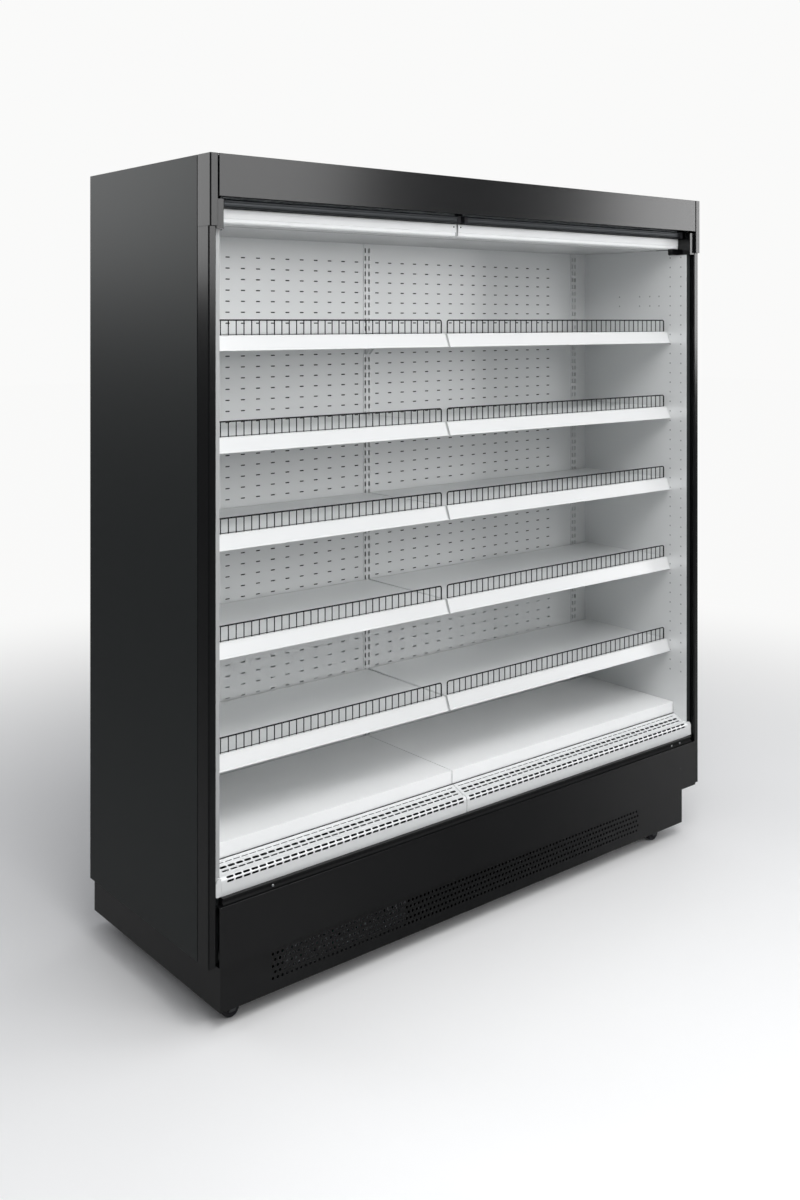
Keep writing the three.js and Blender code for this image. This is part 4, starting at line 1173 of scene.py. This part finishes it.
@dataclass
class ReturnGrille:
    """The white grille in front of the deck: a punched sheet bent over a round nose."""

    pitch: float = 0.0247  # between slots along the grille
    slot: float = 0.0208  # width of a slot
    rows: tuple[Flat, ...] = ((0.0147, 0.0028), (0.0300, 0.0078), (0.0425, 0.0050),
                              (0.0660, 0.0060), (0.0762, 0.0060))  # place on the bent sheet, height
    rim: float = 0.001  # plain sheet above and below a row's slots
    nose: float = 0.013  # radius of the round front edge
    centre: Flat = (0.031, 0.385)  # front plane to the nose's centre, and its height
    rear: Flat = (0.079, 0.414)  # front plane to the rear edge, and its height
    meet: float = 70.0  # angle in degrees where the nose meets the slope
    foot: float = 0.351  # height of the lower edge
    flange: float = 0.004  # height of the rear flange
    gauge: float = 0.0015  # thickness of the sheet
    outer: float = 0.015  # plain end beside the cabinet's end
    inner: float = 0.0085  # plain end beside the bay joint

    def build(self) -> None:
        """Builds both grilles and their end plates."""
        for side in SIDES:
            self.sheet(side)
            self.end_plate(side)

    def section(self) -> list[Flat]:
        """Returns the outer line of the bent sheet, from the rear flange to its lower edge."""
        cy, cz = self.centre
        arc = [(cy + self.nose * math.cos(a), cz + self.nose * math.sin(a))
               for a in (math.radians(self.meet + (180 - self.meet) * i / 16) for i in range(17))]
        line = [(self.rear[0], self.rear[1] - self.flange), self.rear, *arc,
                (cy - self.nose, self.foot)]
        return [(depth(y), z) for y, z in line]

    def sheet(self, side: str) -> None:
        """Punches the rows flat, joins them with plain bands and bends the sheet."""
        low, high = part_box(f"return_grille_{side}")
        plain = (self.outer, self.inner) if side == "left" else (self.inner, self.outer)
        room = high.x - low.x - sum(plain)
        count = round(room / self.pitch)
        pitch, first = room / count, low.x + plain[0]
        bands = []
        for middle, height in self.rows:
            cell = punched_cell(pitch, height + 2 * self.rim, slot_hole(self.slot, height),
                                first + pitch / 2, middle)
            bands.append(opened(array(cell, count, (pitch, 0, 0))))
        piece = joined("grille", bands)
        edges = [(z - h / 2 - self.rim, z + h / 2 + self.rim) for z, h in self.rows]
        for (_, lower), (upper, _) in zip(edges, edges[1:]):
            with editing(piece):
                pick(piece, Kind.EDGE, lambda e: e.is_boundary and any(
                    all(abs(v.co.z - z) < 1e-6 for v in e.verts) for z in (lower, upper)))
                bpy.ops.mesh.bridge_edge_loops(
                    number_cuts=max(0, round((upper - lower) / 0.0022) - 1))
        line = self.section()
        marks = [0.0]
        for a, b in zip(line, line[1:]):
            marks.append(marks[-1] + math.dist(a, b))
        for goal in (self.flange, 0.0):
            lowest = min(v.co.z for v in piece.data.vertices)
            drawn_out(piece, Axis.Z, lowest, (0, 0, goal - lowest))
        drawn_out(piece, Axis.Z, edges[-1][1], (0, 0, marks[-1] - edges[-1][1]))
        framed_sheet(piece, (first, first + room, 0, 0), (low.x, high.x, 0, 0))
        for vertex in piece.data.vertices:
            run = min(max(vertex.co.z, 0.0), marks[-1])
            i = max(k for k in range(len(line) - 1) if marks[k] <= run + 1e-9)
            spot = Vector(line[i]).lerp(line[i + 1], (run - marks[i]) / (marks[i + 1] - marks[i]))
            vertex.co = (vertex.co.x, *spot)
        thickened(piece, (0, -1, 1), self.gauge)
        dressed(softened(piece), f"return_grille_{side}_sheet", WHITE, f"return_grille_{side}")

    def end_plate(self, side: str) -> None:
        """Closes the grille beside the cabinet's end with a white plate with a round shoulder."""
        way = side_way(side)
        inner = abs(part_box(f"return_grille_{side}")[way > 0].x) + 0.0001
        outline = [(way * x, z) for x, z in ((inner, self.foot), (0.951, self.foot),
                                             (0.951, 0.386), (0.944, 0.397), (inner, 0.397))]
        piece = bar("plate", rounded(outline, 0.004), depth(self.centre[0] - self.nose),
                    depth(0.0253), Axis.Y)
        dressed(softened(piece, 0.0006, 2), f"grille_end_{side}", WHITE)


@dataclass
class KickPlate:
    """The lower front plate with its field of round vent holes."""

    pitch: float = 0.0148  # between holes in a row
    rise: float = 0.0158  # between rows
    hole: float = 0.0078  # diameter of a hole
    start: float = -0.768  # X of the first hole
    end: float = 0.707  # X of the last hole
    first: float = 0.083  # Z of the lowest row
    rows: int = 5  # every second one is shifted by half the pitch

    def build(self) -> None:
        """Punches the plate row by row, evens out the rows' ends and frames the field."""
        low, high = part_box("kick_plate")
        count = int((self.end - self.start) / self.pitch)
        quarter = self.pitch / 4
        bands = []
        for row in range(self.rows):
            x = self.start + (self.pitch / 2 if row % 2 else 0)
            cell = punched_cell(self.pitch, self.rise, round_hole(self.hole), x,
                                self.first + row * self.rise)
            band = array(cell, count, (self.pitch, 0, 0))
            edge, step = ((x - self.pitch / 2, -quarter) if row % 2
                          else (x + self.pitch * (count - 0.5), quarter))
            for k in range(2):
                drawn_out(band, Axis.X, edge + k * step, (step, 0, 0))
            bands.append(opened(band))
        piece = joined("kick", bands)
        with editing(piece):
            bpy.ops.mesh.remove_doubles(threshold=NEAR)
        bottom = self.first - self.rise / 2
        framed_sheet(piece, (self.start - self.pitch / 2, self.start + self.pitch * count, bottom,
                             bottom + self.rows * self.rise), (low.x, high.x, low.z, high.z))
        finished_sheet(piece, "kick_plate", "_sheet", GLOSS, high.y - low.y)


@dataclass
class Canopy:
    """What hangs under the canopy: light strips, honeycomb air outlet, blinds and their rollers."""

    cell: float = 0.0118  # side of a honeycomb cell
    wall: float = 0.0012  # wall between two cells
    axis: Flat = (0.034, 2.122)  # front plane to the rollers' axis, and its height
    roll: float = 0.0199  # radius of a wound blind
    core: float = 0.0155  # radius of its bare tube
    pin: float = 0.004  # radius of a roller's pins
    turns: int = 15  # windings of the fabric
    steps: int = 24  # flats of a winding
    web: tuple[float, ...] = (2.0925, 2.0955, 2.0985, 2.1015, 2.110)  # heights of the short web
    stretch: float = 2.1012  # where the web starts to stretch
    cloth: float = 0.0002  # thickness of the cloth
    plug: float = 0.013  # length of a bar's end plug

    def build(self) -> None:
        """Builds everything under the canopy."""
        self.outlet()
        for side in SIDES:
            self.strip(side)
            self.blind_bar(side)
            self.roller(side)
            self.fabric(side)

    def strip(self, side: str) -> None:
        """Dresses a light strip and closes its ends."""
        name = f"light_strip_{side}"
        refined(name, LIGHT)
        low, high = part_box(name)
        front, foot, top = low.y - 0.0004, low.z - 0.0004, high.z + 0.0004
        outline = rounded([(front, low.z + 0.003), (low.y + 0.003, foot), (high.y, foot),
                           (high.y, top), (front, top)], 0.002, 2)
        ends = end_pair(outline, low.x, high.x, 0.003)
        dressed(softened(ends, 0.0004), name + "_ends", STRIP_END)
        near = high.x - 0.012 if side == "left" else low.x + 0.012
        screws(name + "_clip", [(near, low.y, high.z - 0.009)], -1, 0.0022, BLACK_PLASTIC)

    def outlet(self) -> None:
        """Builds the honeycomb that the cold air falls through."""
        low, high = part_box("air_outlet")
        columns, rows = int((high.x - low.x) / self.cell), int((high.y - low.y) / self.cell)
        pitch, rise = (high.x - low.x) / columns, (high.y - low.y) / rows
        hole = round_hole((self.cell - self.wall) * 1.06, 8)
        cell = punched_cell(pitch, rise, hole, low.x + pitch / 2, low.y + rise / 2)
        piece = opened(field(cell, columns, rows, pitch, rise))
        for vertex in piece.data.vertices:
            vertex.co = (vertex.co.x, vertex.co.z, low.z)
        thickened(piece, (0, 0, -1), high.z - low.z)
        dressed(softened(piece), "air_outlet_honeycomb", TUB, "air_outlet")

    def blind_bar(self, side: str) -> None:
        """Draws the pull bar with its finger lip and plugs its ends."""
        name, body = f"blind_bar_{side}", f"blind_{side}"
        low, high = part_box(name)
        y, z, back, top = low.y, low.z, high.y, high.z
        outline = [(y, z + 0.004), (y + 0.002, z), (y + 0.008, z), (y + 0.009, z + 0.002),
                   (back - 0.002, z + 0.002), (back, z + 0.004), (back, top - 0.002),
                   (back - 0.002, top), (y + 0.004, top), (y, top - 0.004), (y, top - 0.008),
                   (y + 0.0012, top - 0.0088), (y + 0.0012, z + 0.0072), (y, z + 0.0064)]
        piece = bar("bar", outline, low.x + 0.003, high.x - 0.003)
        dressed(softened(piece, 0.0005), name + "_profile", DARK_ALUMINIUM, name, body)
        cap = rounded([(y - 0.0004, z - 0.0003), (back + 0.0003, z - 0.0003),
                       (back + 0.0003, top + 0.0003), (y - 0.0004, top + 0.0003)], 0.003)
        plugs = end_pair(cap, low.x, high.x, self.plug)
        dressed(softened(plugs, 0.0005), name + "_plugs", BLACK_PLASTIC, body=body)

    def roller(self, side: str) -> None:
        """Turns the roller's tube with its two pins."""
        name = f"blind_roller_{side}"
        low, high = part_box(name)
        half = [(0, 0), (0, self.pin), (0.0018, self.pin), (0.0018, self.core - 0.001),
                (0.0028, self.core)]
        profile = [(low.x + d, r) for d, r in half] + [(high.x - d, r) for d, r in half[::-1]]
        piece = turned("roller", profile, (0, depth(self.axis[0]), self.axis[1]), Axis.X, 32)
        dressed(softened(piece), name + "_tube", ZINC, name, f"roller_{side}")

    def fabric(self, side: str) -> None:
        """Winds the blind's cloth on its roller, with a short web down to the bar."""
        name = f"blind_fabric_{side}"
        low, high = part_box(name)
        cy, cz = depth(self.axis[0]), self.axis[1]
        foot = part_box(f"blind_bar_{side}")[1].z - 0.004
        line = [(cy + self.roll, z) for z in (foot, *self.web)]
        count = self.turns * self.steps
        for i in range(count + 1):
            r = self.roll + (self.core + 0.0003 - self.roll) * i / count
            a = math.tau * i / self.steps
            line.append((cy + r * math.cos(a), cz + r * math.sin(a)))
        bpy.ops.mesh.primitive_grid_add(x_subdivisions=4, y_subdivisions=len(line) - 1, size=1,
                                        location=(0, 0, 0))
        piece = bpy.context.object
        columns = len(piece.data.vertices) // len(line)
        for i, vertex in enumerate(piece.data.vertices):
            row, column = divmod(i, columns)
            vertex.co = (low.x + (high.x - low.x) * column / (columns - 1), *line[row])
        modify(piece, "SOLIDIFY", thickness=self.cloth, offset=0)
        dressed(softened(piece), name + "_cloth", FABRIC, name, ride=False)
        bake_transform(piece)


@dataclass
class RunningGear:
    """The four castors."""

    rim: float = 0.0185  # radius of the hub inside its tyre
    bore: float = 0.0036  # radius of the hub's bore
    steps: int = 40  # faces round a wheel

    def build(self) -> None:
        """Builds the forks and the wheels."""
        for side in SIDES:
            refined(f"castor_fork_front_{side}", ZINC_DARK, f"castor_{side}", 0.0006)
            for row in ("front", "rear"):
                self.wheel(f"castor_wheel_{row}_{side}", f"{row}_wheel_{side}")

    def wheel(self, name: str, body: str) -> None:
        """Turns a tyre and its hub about the axle."""
        low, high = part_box(name)
        centre = (low + high) / 2
        half, r, rim = (high.y - low.y) / 2, (high.z - low.z) / 2, self.rim
        tyre = self._mirrored([(half - 0.002, rim), (half, rim + 0.001), (half, r - 0.003),
                               (half - 0.0012, r - 0.0008), (half - 0.004, r)])
        dressed(softened(turned("tyre", tyre, centre, Axis.Y, self.steps)), name + "_tyre",
                RUBBER, name, body)
        hub = self._mirrored([(half - 0.0006, self.bore), (half - 0.0006, 0.007),
                              (half - 0.004, 0.0085), (half - 0.004, rim - 0.004),
                              (half - 0.0015, rim - 0.0025), (half - 0.0015, rim + 0.0003)])
        dressed(softened(turned("hub", hub, centre, Axis.Y, self.steps)), name + "_hub",
                BLACK_PLASTIC, body=body)

    @staticmethod
    def _mirrored(half: Sequence[Flat]) -> list[Flat]:
        """Returns a closed profile from its half, given from the inside to the outside."""
        return [(-y, r) for y, r in half] + list(half[::-1]) + [(-half[0][0], half[0][1])]


@dataclass
class Fixings:
    """Screws, hole plugs and a dark strip of painted shade at the cabinet's front."""

    head: float = 0.0042  # radius of a screw head
    bumper: tuple[float, ...] = (-0.790, 0.829, 0.872)  # X of the bumper's screws
    fascia: Flat = (0.869, 0.257)  # X and Z of the lower fascia's screw
    plug: float = 0.0031  # radius of a plug in the end liners
    plug_pitch: float = 0.0335  # between rows of plugs
    plug_rows: int = 44  # rows in a column
    top_row: float = 2.0055  # Z of the top row
    plug_columns: Flat = (0.050, 0.096)  # front plane to the two columns
    cluster: tuple[float, ...] = (0.145, 0.186, 0.232, 0.325)  # the same of the short cluster
    liner_face: float = 0.936  # X of the end liners' inner face

    def build(self) -> None:
        """Sets all of them."""
        low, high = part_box("bumper_channel")
        screws("bumper_screws", [(x, low.y, (low.z + high.z) / 2) for x in self.bumper], -1,
               self.head * 0.8, ZINC)
        small = self.head * 0.7
        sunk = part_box("lower_fascia")[0].y + small * 0.6 - 0.00005
        screws("fascia_screw", [(self.fascia[0], sunk, self.fascia[1])], -1, small, ZINC)
        for side in SIDES:
            self.liner_plugs(side)
        self.deck_seal()

    def liner_plugs(self, side: str) -> None:
        """Sets two columns of flat plugs and a short cluster in an end liner."""
        way, r = side_way(side), self.plug
        profile = [(0, 0), (0, r), (-way * 0.0004, 0.9 * r), (-way * 0.0006, 0.6 * r),
                   (-way * 0.0006, 0)]
        rows = [self.top_row - self.plug_pitch * i for i in range(self.plug_rows)]
        spots = [(y, z) for y in self.plug_columns for z in rows]
        spots += [(y, z) for y in self.cluster for z in rows[4:6]]
        plugs = [turned("plug", profile, (way * self.liner_face, depth(y), z), Axis.X, 8)
                 for y, z in spots]
        dressed(softened(joined("plugs", plugs)), f"liner_plugs_{side}", LINER_PLUG)

    def deck_seal(self) -> None:
        """Lays a dark strip between the decks and the grille's rear edge: painted shade of the gap
        there.
        """
        low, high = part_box("return_grille_left")[0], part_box("return_grille_right")[1]
        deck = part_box("deck_pan_left")[0]
        front, back = high.y + 0.0002, deck.y - 0.0002
        foot, top = deck.z + 0.0003, high.z + 0.0016
        outline = rounded([(front, foot), (back, foot), (back, top), (front, top)], 0.0008, 2)
        # The dark strip is painted shade, in the bumper's black plastic.
        dressed(softened(bar("seal", outline, low.x + 0.001, high.x - 0.001)), "deck_seal", BUMPER)


@dataclass
class RearCovers:
    """Two service covers with louvres and two seam strips on the rear wall."""

    spans: tuple[Flat, ...] = ((-0.90, -0.03), (0.03, 0.90))  # X of the covers' ends
    foot: float = 0.30  # Z of their lower edge
    top: float = 1.04  # Z of their upper edge
    louvre: Flat = (0.06, 0.03)  # pitch of the louvres, across and upwards
    louvres: tuple[int, int] = (10, 8)
    inset: Flat = (0.13, 0.085)  # a cover's lower left corner to the louvres' field
    pressed: float = 0.0045  # how far a louvre stands out
    fold: float = 0.006  # depth of a cover's rim
    edge: float = 0.03  # a cover's edge to its screws
    sheet: float = 0.0012  # thickness of a cover
    head: float = 0.0042  # radius of a screw head
    seams: Flat = (-0.31, 0.31)  # X of the strips
    seam: Flat = (1.09, 2.18)  # Z of a strip's ends
    proud: float = 0.004  # how far a strip stands out
    rivet: tuple[float, float, int] = (1.13, 0.2, 6)  # Z of the first, distance, count

    def build(self) -> None:
        """Builds all of them."""
        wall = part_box("rear_wall")[1].y
        for number, (left, right) in enumerate(self.spans, 1):
            self.cover(number, left, right, wall)
        for number, x in enumerate(self.seams, 1):
            self.strip(number, x, wall)

    def cover(self, number: int, left: float, right: float, wall: float) -> None:
        """Presses a cover's louvres, folds its rim and screws it on the wall."""
        (wide, high), (columns, rows) = self.louvre, self.louvres
        x, z = left + self.inset[0], self.foot + self.inset[1]
        cell = punched_cell(wide, high, slot_hole(wide * 0.8, high * 0.42), x + wide / 2,
                            z + high / 2)
        with editing(cell):
            pick(cell, Kind.FACE, lambda f: f.material_index == HOLE_MARK)
            bpy.ops.mesh.inset(thickness=high * 0.06)
            bpy.ops.transform.translate(value=(0, self.pressed, 0))
        for face in cell.data.polygons:
            face.material_index = 0
        piece = field(cell, columns, rows, wide, high)
        framed_sheet(piece, (x, x + columns * wide, z, z + rows * high),
                     (left, right, self.foot, self.top))
        with editing(piece):
            pick(piece, Kind.EDGE, lambda e: e.is_boundary)
            push_out((0, -self.fold, 0))
        face = wall + self.fold + 0.0001
        thickened(moved(piece, (0, face, 0)), (0, 1, 0), self.sheet)
        dressed(softened(piece), f"rear_cover_{number}", BLACK)
        spots = [(x, face, z) for x in (left + self.edge, (left + right) / 2, right - self.edge)
                 for z in (self.foot + self.edge, self.top - self.edge)]
        screws(f"rear_cover_screws_{number}", spots, 1, self.head, ZINC)

    def strip(self, number: int, x: float, wall: float) -> None:
        """Folds a strip over a seam of the wall and rivets it on."""
        half = [(0.035, 0.0001), (0.03, 0.0001), (0.026, self.proud)]
        path = [(x - d, wall + y) for d, y in half] + [(x + d, wall + y) for d, y in half[::-1]]
        piece = folded("strip", path, *self.seam, self.sheet * 0.8, (0, 1, 0), Axis.Z)
        dressed(softened(piece, 0.0003), f"rear_seam_{number}", BLACK)
        first, step, count = self.rivet
        screws(f"rear_seam_rivets_{number}",
               [(x, wall + self.proud, first + step * k) for k in range(count)], 1, 0.003, BLACK)


def dress_the_rest() -> None:
    """Gives each CAD node that still shows the finish of its slot."""
    slots = {row["node"]: row["material_slot"] for row in frame["record"]["subparts"]}
    for name, piece in NODES.items():
        if piece.hide_render:
            continue
        piece.data.materials.clear()
        piece.data.materials.append(FINISHES[slots[name]].material())
        LOG.info("%s: CAD mesh in %s", name, slots[name])


def main() -> None:
    """Builds the studio and every piece."""
    logging.basicConfig(level=logging.INFO, format="%(message)s")
    Studio().build()
    for assembly in (Shell(), Shelving(), BackWall(), ReturnGrille(), KickPlate(), Canopy(),
                     RunningGear(), Fixings(), RearCovers()):
        LOG.info("--- %s", type(assembly).__name__)
        assembly.build()
    dress_the_rest()


if __name__ == "__main__":
    main()
